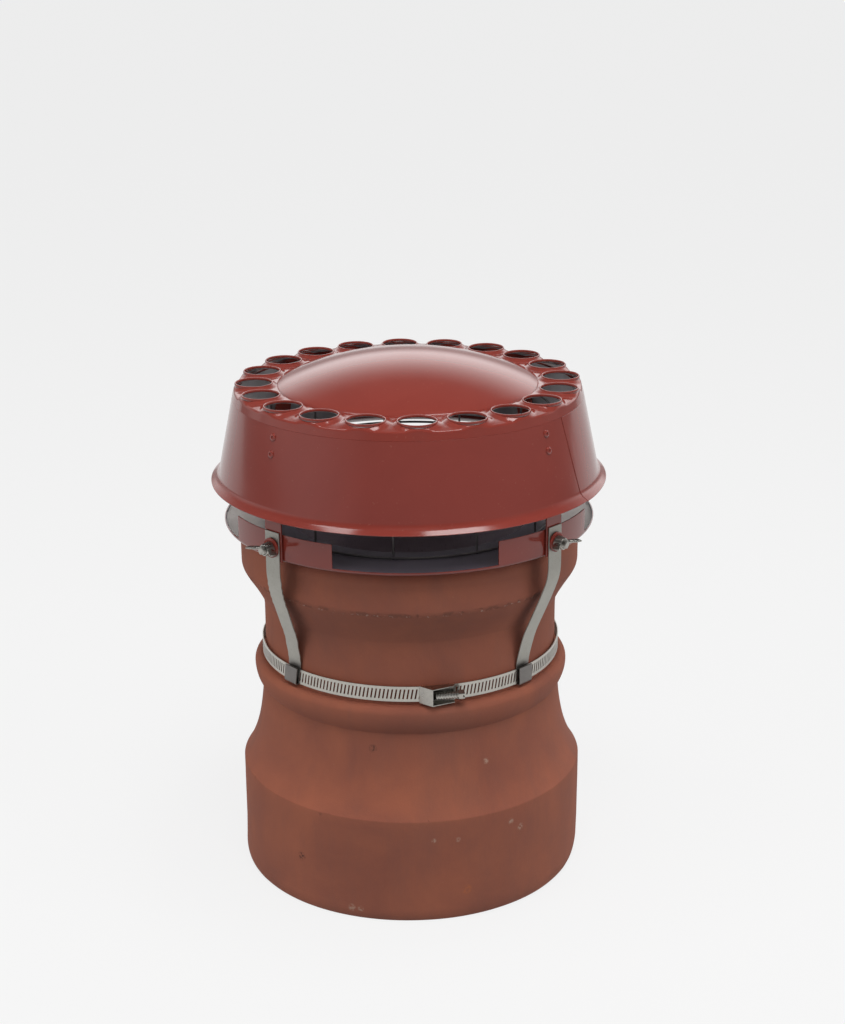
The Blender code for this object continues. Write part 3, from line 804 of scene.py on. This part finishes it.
def top_line():
    """The line of the pressed top, from the middle of the dome to the lap inside the skirt."""
    round_of = (DOME ** 2 + DOME_RISE ** 2) / (2 * DOME_RISE)
    edge = math.degrees(math.asin(DOME / round_of))
    line = curve((0.0, RING + DOME_RISE - round_of), round_of, round_of, 90, 90 - edge, 16)
    brink = skirt_at(BRINK) - FOLD_ROUND
    flat = brink - DOME
    for step in range(1, RING_STEPS + 1):
        share = step / RING_STEPS
        fall = BRINK_FALL * max(0.0, (share - LEVEL_SHARE) / (1 - LEVEL_SHARE)) ** 2
        line.append((DOME + flat * share, RING - SUNK - fall))
    line += curve((brink, BRINK - FOLD_ROUND), FOLD_ROUND, FOLD_ROUND, 78, math.degrees(FLARE_ANGLE), 6)
    tuck = SHEET + GAP
    shut = SKIRT_TOP + 0.03 * MM
    line += [(skirt_at(shut), shut), (skirt_at(SKIRT_TOP) - tuck, shut)]
    return line + [(skirt_at(SKIRT_TOP - LAP) - tuck, SKIRT_TOP - LAP)]


def hole_angle(hole):
    """The azimuth of one hole."""
    return HOLE_TURN + 2 * math.pi * hole / HOLES


def at_the_holes(first, name):
    """Copies of a piece that stands at the front, one at each hole."""
    copies = [turn_round(another(first, f"{name}_{hole}"), hole_angle(hole)) for hole in range(HOLES)]
    bpy.data.objects.remove(first)
    return copies


def hole_cutters():
    """Twenty round punches on the circle of holes."""
    first = made(bpy.ops.mesh.primitive_cylinder_add, "punch", (0.0, -HOLE_CIRCLE, RING), vertices=64,
                 radius=HOLE, depth=3 * FOLD)
    return made_one(at_the_holes(first, "punch"), "punches")


def canopy_top():
    """Turns and punches the canopy's top."""
    piece = turned("canopy_dome", top_line(), 400)
    thickened(piece, SHEET)
    cut_by(piece, hole_cutters())
    return faces_out(piece)


top = canopy_top()
print("punched top:", len(top.data.polygons), "faces")


# %% Top: pressing the collars
COLLAR_RISE = 2.0 * MM
COLLAR_REACH = 4.3 * MM


def press_collars(piece):
    """Lifts the holes' edges with the sheet around them."""
    centres = [around(hole_angle(hole), HOLE_CIRCLE, 0.0) for hole in range(HOLES)]
    select_points(piece, lambda point: min((point.xy.to_3d() - centre).length for centre in centres)
                  < HOLE + 0.05 * MM)
    bpy.ops.transform.translate(value=(0.0, 0.0, COLLAR_RISE), use_proportional_edit=True,
                                proportional_edit_falloff="SMOOTH", proportional_size=COLLAR_REACH)
    put_down()


press_collars(top)
print("collars stand", round(COLLAR_RISE / MM, 2), "mm above the ring")

# %% [markdown]
# The punched edge is turned over into a small round lip. A thin torus on each hole gives that lip, and
# joining it to the sheet hides the Boolean's cut edge under a clean round one that catches the light.

# %% Top: the rolled lips
LIP_ROUND = 0.75 * MM


def hole_lips():
    """One round lip for each hole, hanging a little into it."""
    height = RING - SUNK + COLLAR_RISE - 0.5 * MM
    first = made(bpy.ops.mesh.primitive_torus_add, "lip", (0.0, -HOLE_CIRCLE, height), (1.0, 1.0, 1.7),
                 major_radius=HOLE, minor_radius=LIP_ROUND, major_segments=64, minor_segments=10)
    return at_the_holes(first, "lip")


top = made_one([top] + hole_lips(), "canopy_dome")
smooth(top, 40)
dress(top, RED_COAT, "cowl_coat", "canopy_top")
coat_inside(top, BARE_INSIDE, lambda face: face.normal.z < -0.3
            or (faces_axis(face) and face.center.z < RING - FOLD))

# %% [markdown]
# ## The skirt
#
# The skirt is a strip rolled into a cone, with its ends lapped and its lower edge turned out into a rim.
# Spinning the line a little more than once round gives the lap: the last steps lie over the first, and
# proportional editing lifts the free end half a millimetre proud. Then the whole is leaned bit by bit,
# because the real seam leans: everything below a height is turned a little about the pot's axis, then
# everything below a lower height, and so on down.

# %% Skirt
CORNER = RING - 75 * MM
RIM_REACH = 5.9 * MM
RIM_FALL = 2.9 * MM
SEAM_TOP = math.radians(62.1)
SEAM_LEAN = math.radians(4.0)
SKIRT_STEPS = 360
LAP_STEPS = 4
WRAP = 2 * math.pi * LAP_STEPS / SKIRT_STEPS


def skirt_line():
    """The skirt's outer line, from its top edge to the end of its rim."""
    corner = skirt_at(CORNER)
    bends = [(skirt_at(SKIRT_TOP), SKIRT_TOP), (skirt_at(CORNER + 1.2 * MM), CORNER + 1.2 * MM)]
    bends += [(corner + RIM_REACH, CORNER - RIM_FALL)]
    line = eased(bends, 3.2 * MM, 6)
    heights = [SKIRT_TOP - share * (SKIRT_TOP - CORNER) for share in (0.2, 0.4, 0.6, 0.8)]
    return [line[0]] + [(skirt_at(height), height) for height in heights] + line[1:]


def skirt():
    """Rolls the skirt a little more than once round."""
    piece = drawn("canopy_cone", skirt_line())
    spin(SKIRT_STEPS + LAP_STEPS, 2 * math.pi + WRAP)
    put_down()
    return piece


cone = skirt()
print("skirt rolled:", len(cone.data.vertices), "points")


# %% Skirt: the lap seam
LAP_LIFT = 0.5 * MM
LAP_SOFTNESS = 30 * MM


def lean_below(piece, top_end, low_end, rows, azimuth):
    """Turns all below a height a little about the pot's axis, then all below a lower one, and so on down."""
    for row in range(rows):
        height = top_end - (row + 0.5) / rows * (top_end - low_end)
        select_points(piece, lambda point: point.z < height)
        bpy.ops.transform.rotate(value=-azimuth / rows, orient_axis="Z", orient_type="GLOBAL",
                                 center_override=(0.0, 0.0, 0.0))
    put_down()


def lap_the_seam(piece):
    """Lifts the free end of the roll over its start."""
    out = around(WRAP, LAP_LIFT, 0.0)
    last = len(piece.data.vertices) - len(skirt_line())
    select_by(piece, "VERT", "vertices", lambda point: point.index >= last)
    bpy.ops.transform.translate(value=out, use_proportional_edit=True, use_proportional_connected=True,
                                proportional_edit_falloff="SMOOTH", proportional_size=LAP_SOFTNESS)
    put_down()


lap_the_seam(cone)
one_way(cone, look_in)
thickened(cone, 0.7 * SHEET)
turn_round(cone, SEAM_TOP - WRAP)
lean_below(cone, SKIRT_TOP, CORNER, 20, SEAM_LEAN)
rounded(cone, 0.2 * MM, 1, 60)
smooth(cone, 35)
dress(cone, RED_COAT, "cowl_coat", "canopy_skirt")
coat_inside(cone, BARE_INSIDE, lambda face: faces_axis(face) and face.center.z > CORNER + 8 * MM)

# %% [markdown]
# ## Standing small parts on the side
#
# Rivets, bolts and nuts are easiest to model upright at the origin. One helper then lays them over, so that
# what was up points away from the axis, and sets them at their azimuth, radius and height.

# %% Standing parts off the side
LEGS = 4


def leg_azimuth(leg):
    """A leg stands halfway between two windows."""
    return 2 * math.pi * (leg + 0.5) / LEGS


def stand(piece, azimuth, radius, height, tilt=0.0):
    """Lays a part over so that its top points outwards, and tilted up by an angle."""
    laid(piece, (math.pi / 2 - tilt, 0.0, 0.0), (0.0, -radius, height))
    return turn_round(piece, azimuth)


print("legs at", [round(math.degrees(leg_azimuth(leg))) for leg in range(LEGS)])

# %% [markdown]
# ## Rivets
#
# Two blind rivets hold each bracket inside the skirt. A blind rivet has a low domed head with a small pit in
# the middle, where the pulled stem broke off. They are painted over with the rest.

# %% Rivets
RIVET = 3.1 * MM
RIVET_RISE = 1.3 * MM
RIVET_HEIGHTS = (396 * MM, 383 * MM)
RIVET_OFF = (math.radians(0.2), 0.0, 0.0, math.radians(-2.7))


def rivet(name):
    """One domed head with its pit."""
    pit = 1.1 * MM
    section = [(0.0, RIVET_RISE - 0.7 * MM), (0.7 * pit, RIVET_RISE - 0.7 * MM), (pit, RIVET_RISE)]
    section += curve((pit, 0.0), RIVET - pit, RIVET_RISE, 80, 0, 6)
    section += [(RIVET, -0.5 * MM), (0.0, -0.5 * MM)]
    return smooth(turned(name, section, 24), 50)


def rivets():
    """All eight heads, fixed in one pressing but each kept as a piece of its own."""
    heads = []
    for leg in range(LEGS):
        for height in RIVET_HEIGHTS:
            head = rivet(f"rivet_{len(heads) + 1}")
            azimuth = leg_azimuth(leg) + RIVET_OFF[leg]
            heads.append(stand(head, azimuth, skirt_at(height), height, FLARE_ANGLE))
    return heads


for head in rivets():
    dress(head, RED_COAT, "cowl_coat")

# %% [markdown]
# ## Flat strips
#
# Brackets and straps are both bent from flat strip. The strip's outer face is drawn as a line in the side
# view, the line is extruded sideways to the strip's width, and Solidify and Bevel give it its thickness and
# its rolled edges.

# %% Strips
def strip(name, path, width, thickness, soften):
    """A bent strip at the front, whose outer face follows a line down from its top."""
    piece = drawn(name, eased(path, soften, 5))
    bpy.ops.mesh.select_all(action="SELECT")
    bpy.ops.transform.translate(value=(-0.5 * width, 0.0, 0.0))
    pull(width, 0.0, 0.0)
    one_way(piece, lambda faces: max(faces, key=lambda face: face.center.z).normal.y > 0)
    thickened(piece, thickness)
    rounded(piece, 0.25 * thickness, 3, 50)
    return smooth(piece, 40)


BRACKET = 1.5 * MM
BRACKET_WIDTH = 18 * MM
BRACKET_FACE = TRAY + GAP + BRACKET
BOLT_HEIGHT = TRAY_UNDER + TRAY_WALL / 2


def bracket(leg):
    """A painted strip from inside the skirt to the outside of the tray's wall."""
    inset = SHEET / math.cos(FLARE_ANGLE) + 2 * GAP
    top_end = SKIRT_TOP - LAP - GAP
    bend = FOLD_END - (BRACKET_FACE + inset - FOLD_EDGE) / FLARE
    path = [(skirt_at(top_end) - inset, top_end), (BRACKET_FACE, bend), (BRACKET_FACE, TRAY_UNDER)]
    piece = strip(f"hanger_{leg + 1}", path, BRACKET_WIDTH, BRACKET, 6 * MM)
    return turn_round(piece, leg_azimuth(leg))


for leg in range(LEGS):
    dress(bracket(leg), RED_COAT, "cowl_coat", f"bracket_{leg + 1}")

# %% [markdown]
# ## The straps
#
# Each strap is bolted outside a bracket, runs down past the roll, is bent in to the neck and hooked up over
# the band. The front left one has been pulled round the neck by the band as it was tightened, so its lower
# part leans, and it is leaned in the same way as the skirt's seam.

# %% Straps
STRAP = 1.2 * MM
STRAP_WIDTH = 15 * MM
STRAP_FACE = BRACKET_FACE + GAP + STRAP
STRAP_FOOT = NECK + GAP + STRAP
BAND_INSIDE = STRAP_FOOT + 2 * GAP
BAND = 0.7 * MM
BAND_BOTTOM = NECK_FOOT + 2.2 * MM
BAND_TOP = BAND_BOTTOM + 12.7 * MM
BAND_MIDDLE = (BAND_TOP + BAND_BOTTOM) / 2
PULLED = math.radians(-7.0)


def strap(leg):
    """One strap with its hook."""
    bend = TRAY_UNDER - 17 * MM
    upright = BAND_TOP + 4 * MM
    reach = STRAP_FACE - STRAP_FOOT
    drop = bend - upright
    hook = BAND_INSIDE + BAND + GAP + STRAP
    path = [(STRAP_FACE, BOLT_HEIGHT + 13 * MM), (STRAP_FACE, bend)]
    path += [(STRAP_FACE - 0.22 * reach, bend - 0.22 * drop)]
    path += [(STRAP_FOOT + 0.22 * reach, upright + 0.31 * drop)]
    path += [(STRAP_FOOT, upright), (STRAP_FOOT, BAND_BOTTOM - GAP), (hook, BAND_BOTTOM - GAP)]
    path += [(hook, BAND_TOP + 1 * MM)]
    piece = strip(f"strap_{leg + 1}_bent", path, STRAP_WIDTH, STRAP, 9 * MM)
    if leg == LEGS - 1:
        lean_below(piece, bend, BAND_BOTTOM, 16, PULLED)
    return turn_round(piece, leg_azimuth(leg))


for leg in range(LEGS):
    dress(strap(leg), ZINC, "galvanised_steel", f"strap_{leg + 1}")

# %% [markdown]
# ## The slotted band
#
# A worm-drive band is slotted all along, so that the screw can climb it. One tile with one slanted slot is
# enough: a small plane is inset, its middle is deleted and the slot's two ends are pushed opposite ways.
# Spin with its copies option sets 243 of these tiles edge to edge round the neck, and merging makes one
# strip of them.

# %% Band
SLOTS = 243


def band():
    """The band round the neck, slot by slot."""
    radius = BAND_INSIDE + BAND
    pitch = 2 * math.pi * radius / SLOTS
    tile = (2 * radius * math.tan(math.pi / SLOTS), BAND_TOP - BAND_BOTTOM, 1.0)
    piece = made(bpy.ops.mesh.primitive_plane_add, "slotted_band", (0.0, -radius, BAND_MIDDLE), tile,
                 size=1.0, rotation=(math.pi / 2, 0.0, 0.0))
    edit(piece, "FACE")
    bpy.ops.mesh.inset(thickness=0.3 * pitch)
    bpy.ops.transform.resize(value=(1.0, 1.0, 0.76))
    bpy.ops.mesh.delete(type="ONLY_FACE")
    half_slant = 0.225 * pitch
    select_points(piece, lambda point: abs(point.x) < 0.4 * pitch and point.z > BAND_MIDDLE)
    bpy.ops.transform.translate(value=(half_slant, 0.0, 0.0))
    select_points(piece, lambda point: abs(point.x - half_slant) < 0.45 * pitch
                  and BAND_BOTTOM + 1 * MM < point.z < BAND_MIDDLE)
    bpy.ops.transform.translate(value=(-half_slant, 0.0, 0.0))
    spin(SLOTS, copies=True)
    bpy.ops.mesh.select_all(action="SELECT")
    bpy.ops.mesh.remove_doubles(threshold=0.05 * MM)
    one_way(piece, look_in)
    thickened(piece, BAND, even=False)
    return smooth(piece, 30)


dress(band(), BAND_STEEL, "galvanised_steel", "clamp_band")

# %% [markdown]
# ## The band's housing and screw
#
# The housing is a small pressed channel. Its floor lies on the band, its side walls stand out and get lower
# to the right, and a slanted plate closes the left end. It starts from a plane for the floor, whose edges
# are extruded outwards. The screw's thread is one tooth swept up a helix by the Screw modifier.

# %% Housing
HOUSING_AT = math.radians(7.5)
HOUSING_HALF = 14 * MM
HOUSING_HEIGHT = 14.5 * MM
HOUSING_DEPTH = 9.5 * MM
HOUSING_FLOOR = BAND_INSIDE + BAND + GAP


def housing():
    """The open channel with its slanted end."""
    piece = made(bpy.ops.mesh.primitive_plane_add, "screw_channel", (0.0, 0.0, 0.0),
                 (HOUSING_HALF, HOUSING_HEIGHT / 2, 1.0), size=2.0)
    shallow = 0.4 * HOUSING_DEPTH
    aside = 0.45 * HOUSING_HEIGHT
    end = -0.9 * HOUSING_HALF
    sides = [lambda point: point.y < -aside, lambda point: point.y > aside, lambda point: point.x < end]
    for on_side in sides:
        select_edges(piece, lambda point: on_side(point) and point.z < 0.1 * MM)
        pull(0.0, 0.0, shallow)
    select_points(piece, lambda point: point.x < end and point.z > 0.5 * shallow)
    bpy.ops.mesh.remove_doubles(threshold=0.05 * MM)
    bpy.ops.transform.translate(value=(0.65 * HOUSING_HALF, 0.0, HOUSING_DEPTH - shallow))
    one_way(piece, lambda faces: min(faces, key=lambda face: face.center.z).normal.z > 0)
    thickened(piece, 0.9 * MM)
    rounded(piece, 0.3 * MM, 3, 35)
    smooth(piece, 40)
    return stand(piece, HOUSING_AT, HOUSING_FLOOR, BAND_MIDDLE)


dress(housing(), PLATED, "galvanised_steel", "clamp_housing")


# %% Threads
def threaded(name, radius, length, pitch):
    """A threaded rod that stands on the origin."""
    core = 0.8 * radius
    tooth = [(core, 0.0), (radius, 0.35 * pitch), (radius, 0.5 * pitch), (core, 0.85 * pitch), (core, pitch)]
    piece = drawn(name, tooth)
    finish_with(piece, "SCREW", axis="Z", screw_offset=pitch, iterations=int(length / pitch), steps=20,
                render_steps=20, use_merge_vertices=True, merge_threshold=0.01 * MM)
    edit(piece)
    bpy.ops.mesh.remove_doubles(threshold=0.01 * MM)
    bpy.ops.mesh.select_all(action="DESELECT")
    bpy.ops.mesh.select_mode(type="EDGE")
    bpy.ops.mesh.select_non_manifold(extend=False)
    bpy.ops.mesh.edge_face_add()
    return one_way(piece, look_in)


def clamp_screw():
    """The worm screw with its slotted hexagon head, lying in the channel."""
    length = 20 * MM
    head = 5 * MM
    corner = 4.2 * MM
    shank = threaded("worm_screw", 3.1 * MM, length, 2.2 * MM)
    hexagon = made(bpy.ops.mesh.primitive_cylinder_add, "hexagon", (0.0, 0.0, length + head / 2), vertices=6,
                   radius=corner, depth=head)
    slot = made(bpy.ops.mesh.primitive_cube_add, "slot", (0.0, 0.0, length + head),
                (3 * corner, 1.3 * MM, 3 * MM), size=1.0)
    cut_by(hexagon, slot)
    rounded(hexagon, 0.35 * MM, 3, 35)
    piece = smooth(made_one([shank, hexagon], "worm_screw"), 40)
    laid(piece, (0.0, math.pi / 2, 0.0), (HOUSING_HALF - length + 2 * MM, 0.0, 1.3 * MM + corner))
    return stand(piece, HOUSING_AT, HOUSING_FLOOR, BAND_MIDDLE)


dress(clamp_screw(), PLATED, "plated_steel", "clamp_screw")

# %% [markdown]
# ## Bolts, washers and wing nuts
#
# A bolt comes through each leg from inside the tray. Outside it carries a painted washer and a cast wing
# nut. The nut's ears are blobby castings with thin, wide ends, so each ear is grown from a small cube by
# extruding its end face three times and scaling it each time, and a subdivision surface rounds the whole.

# %% Bolts and washers
WASHER_FACE = STRAP_FACE + GAP
WASHER = 1.5 * MM
NUT_FACE = WASHER_FACE + WASHER + GAP
BOLT = 3 * MM
HUB = 7 * MM
BOLT_TUCK = TRAY - SHEET - GAP


def bolt(leg):
    """A pan head inside the tray and a threaded shank out through the nut."""
    whole = NUT_FACE + HUB + 2.4 * MM - BOLT_TUCK
    head = [(0.0, -3 * MM), (3.6 * MM, -2.8 * MM), (5.4 * MM, -2.0 * MM), (6 * MM, -0.8 * MM), (6 * MM, 0.0)]
    head += [(0.9 * BOLT, 0.0), (0.9 * BOLT, 1 * MM), (0.0, 1 * MM)]
    pan = turned(f"bolt_head_{leg + 1}", head, 28)
    shank = threaded(f"bolt_shank_{leg + 1}", BOLT, whole, 1.0 * MM)
    piece = made_one([pan, shank], f"bolt_{leg + 1}_cut")
    smooth(piece, 35)
    return stand(piece, leg_azimuth(leg), BOLT_TUCK, BOLT_HEIGHT)


def washer(leg):
    """A flat ring with softened edges."""
    soft = 0.3 * MM
    hole = BOLT + GAP
    wide = 8 * MM
    section = [(hole, 0.0), (wide - soft, 0.0), (wide, soft), (wide, WASHER - soft), (wide - soft, WASHER)]
    section += [(hole + soft, WASHER), (hole, WASHER - soft), (hole, 0.0)]
    return stand(smooth(turned(f"washer_{leg + 1}_painted", section, 40), 40), leg_azimuth(leg), WASHER_FACE,
                 BOLT_HEIGHT)


for leg in range(LEGS):
    dress(bolt(leg), PLATED, "plated_steel", f"bolt_{leg + 1}")
    dress(washer(leg), RED_COAT, "cowl_coat", f"washer_{leg + 1}")


# %% Wing nuts
def ear():
    """One ear that reaches to the right and rises."""
    piece = made(bpy.ops.mesh.primitive_cube_add, "ear", (4.2 * MM, 0.0, 3.6 * MM),
                 (2.4 * MM, 3.6 * MM, 6.4 * MM), size=1.0)
    growth = [(2.2, 1.6, 0.72, 1.05), (3.4, 2.6, 0.9, 1.25), (3.2, 1.7, 0.85, 0.95), (0.9, 0.3, 0.7, 0.6)]
    select_faces(piece, lambda face: face.normal.x > 0.9)
    for out, up, thin, tall in growth:
        pull(out * MM, 0.0, up * MM)
        bpy.ops.transform.resize(value=(1.0, thin, tall))
    return finish_with(piece, "SUBSURF", levels=3, render_levels=3)


def wing_nut(leg):
    """A tapered hub and two ears."""
    hole = BOLT + 0.1 * MM
    soft = 0.5 * MM
    section = [(hole, 0.0), (5.5 * MM, 0.0), (5.5 * MM, soft), (4.7 * MM, HUB - soft), (4.7 * MM - soft, HUB)]
    section += [(hole + soft, HUB), (hole, HUB - soft), (hole, 0.0)]
    hub = turned(f"nut_hub_{leg + 1}", section, 36)
    right = ear()
    left = turn_round(another(right, "left_ear"), math.pi)
    piece = made_one([hub, right, left], f"wing_nut_{leg + 1}_cast")
    smooth(piece, 45)
    return stand(piece, leg_azimuth(leg), NUT_FACE, BOLT_HEIGHT)


for leg in range(LEGS):
    dress(wing_nut(leg), PLATED, "plated_steel", f"wing_nut_{leg + 1}")

# %% [markdown]
# ## The bird guard
#
# Eleven uprights are welded to three rings of round wire. Rings are tori and uprights are thin cylinders,
# and at every crossing a small blob stands for the spot weld, which is what the eye looks for in a welded
# mesh.

# %% Bird guard
GUARD = NECK - WALL - 1.7 * MM + 17 * MM
WIRE = 1.0 * MM
UPRIGHTS = 11
GUARD_TURN = math.radians(-8.0)
GUARD_LOW = TRAY_UNDER + SHEET + GAP + WIRE
GUARD_RISE = SKIRT_TOP - TRAY_UNDER - SHEET - 16.4 * MM


def guard():
    """Rings, uprights and their welds."""
    levels = [GUARD_LOW, GUARD_LOW + GUARD_RISE / 2, GUARD_LOW + GUARD_RISE]
    pieces = [made(bpy.ops.mesh.primitive_torus_add, "ring", (0.0, 0.0, height), major_radius=GUARD,
                   minor_radius=WIRE, major_segments=160, minor_segments=10) for height in levels]
    for wire in range(UPRIGHTS):
        azimuth = GUARD_TURN + 2 * math.pi * wire / UPRIGHTS
        rod = made(bpy.ops.mesh.primitive_cylinder_add, "upright", (0.0, -GUARD, levels[1]), vertices=12,
                   radius=0.9 * WIRE, depth=GUARD_RISE + 1.4 * WIRE)
        welds = [made(bpy.ops.mesh.primitive_uv_sphere_add, "weld", (0.0, -GUARD, height), (1.0, 0.8, 0.9),
                      segments=12, ring_count=8, radius=1.5 * WIRE) for height in levels]
        pieces += [turn_round(piece, azimuth) for piece in [rod] + welds]
    return smooth(made_one(pieces, "welded_guard"), 60)


dress(guard(), SMOKED_WIRE, "galvanised_steel", "bird_guard")

# %% [markdown]
# ## The studio
#
# The cowl stands on a plain pale floor that runs on past the edges of the picture. The camera looks a little
# down on it from about a metre and a half. What a glossy coat shows is mostly the room around it, so the
# room is drawn with care: dim in front, paler at the left, and a soft white strip high behind the cowl,
# which is what turns the far side of the dome pale. Soft boxes at both sides and in front light the clay,
# and two small ones overhead give the sparks on the rim. The floor under the picture glows a little, so that
# it stays evenly pale, and a second, wider one is there for views from other sides.

# %% Camera
CAMERA_PLACE = Vector((-0.0514, -1.5491, 0.8180))
CAMERA_DOWN = math.radians(18.44)
CAMERA_ROLL = math.radians(-0.565)


def camera():
    """A short telephoto view from a little to the left of the front."""
    put_down()
    bpy.ops.object.camera_add(location=CAMERA_PLACE)
    eye = bpy.context.object
    heading = math.atan2(CAMERA_PLACE.x, -CAMERA_PLACE.y)
    aim = Matrix.Rotation(heading, 3, "Z") @ Matrix.Rotation(math.pi / 2 - CAMERA_DOWN, 3, "X")
    eye.rotation_euler = (aim @ Matrix.Rotation(CAMERA_ROLL, 3, "Z")).to_euler()
    eye.data.lens = 69.33
    eye.data.sensor_width = 36.0
    eye.data.shift_x = 0.01314
    eye.data.clip_end = 200.0
    bpy.context.scene.camera = eye
    return eye


print("camera at", [round(value, 3) for value in camera().location])


# %% Floor and light
FLOOR_GLOW = 0.81
BELOW_LEVEL = 0.3
BACKDROP_LEVEL = 0.87


def floor(name, middle, wide, deep, height, mirrored):
    """A pale plain floor with a glow of its own, seen or not seen in the shine."""
    ground = made(bpy.ops.mesh.primitive_plane_add, name, (0.0, middle, height), (wide, deep, 1.0), size=1.0)
    paint = bpy.data.materials.new("studio_floor_paint")
    paint.use_nodes = True
    shader = paint.node_tree.nodes["Principled BSDF"].inputs
    shader["Base Color"].default_value = (0.1, 0.1, 0.1, 1.0)
    shader["Roughness"].default_value = 0.9
    shader["Specular IOR Level"].default_value = 0.0
    shader["Emission Color"].default_value = (1.0, 1.0, 1.0, 1.0)
    shader["Emission Strength"].default_value = FLOOR_GLOW
    ground.data.materials.append(paint)
    ground.visible_glossy = mirrored
    ground.visible_diffuse = False


def soft_box(name, place, size, power, mirrored=True):
    """A square area light that faces the cowl, seen or not seen in the shine."""
    put_down()
    bpy.ops.object.light_add(type="AREA", location=place)
    lamp = bpy.context.object
    lamp.name = name
    lamp.data.size = size
    lamp.data.energy = power
    lamp.visible_glossy = mirrored
    lamp.rotation_euler = (Vector((0.0, 0.0, 0.25)) - Vector(place)).to_track_quat("-Z", "Y").to_euler()


def surroundings(dim, side_level, strip_level):
    """A dim room, paler to the left, with a pale strip of light high behind the cowl."""
    world = bpy.context.scene.world or bpy.data.worlds.new("surroundings")
    bpy.context.scene.world = world
    world.use_nodes = True
    tree = world.node_tree
    way = wired(tree, "ShaderNodeTexCoord").outputs["Generated"]
    parts = wired(tree, "ShaderNodeSeparateXYZ", {"Vector": way}).outputs

    rear = spread(tree, times(tree, parts["X"], 0.35, parts["Y"]), 0.4, 0.9)
    side = spread(tree, parts["X"], -0.45, -0.9)
    sweep = times(tree, times(tree, side, spread(tree, parts["Z"], 0.5, 0.3)), side_level)
    strip = times(tree, spread(tree, parts["Z"], 0.1, 0.22), spread(tree, parts["Z"], 0.66, 0.36))
    room = spread(tree, parts["Z"], 0.12, 0.35, dim, 0.5 * dim)
    both = wired(tree, "ShaderNodeMath", {0: sweep, 1: room}).outputs[0]
    lit = times(tree, times(tree, strip, rear), strip_level, both)
    above = spread(tree, parts["Z"], -0.02, 0.0)
    level = wired(tree, "ShaderNodeMix", {"Factor": above, "A": BELOW_LEVEL, "B": lit}).outputs["Result"]
    seen = wired(tree, "ShaderNodeLightPath").outputs["Is Camera Ray"]
    level = wired(tree, "ShaderNodeMix", {"Factor": seen, "A": level, "B": BACKDROP_LEVEL}).outputs["Result"]
    tree.links.new(level, tree.nodes["Background"].inputs["Strength"])
    tree.nodes["Background"].inputs["Color"].default_value = (1.0, 1.0, 1.0, 1.0)


floor("studio_floor", 12.0, 6.2, 28.0, -0.2 * MM, True)
floor("studio_surround", 0.0, 400.0, 400.0, -1.5 * MM, False)
surroundings(0.44, 0.35, 1.5)
soft_box("left_box", (-1.8, -0.9, 1.2), 1.2, 11.0, mirrored=False)
soft_box("right_box", (1.8, -0.8, 1.2), 1.2, 13.0, mirrored=False)
soft_box("front_box", (0.1, -1.0, 2.2), 1.0, 24.0, mirrored=False)
soft_box("overhead_right_box", (0.45, 0.0, 2.2), 0.6, 8.0)
soft_box("overhead_left_box", (-0.8, 0.0, 2.2), 0.5, 4.0)
bpy.context.scene.view_settings.view_transform = "Standard"
print("studio ready")
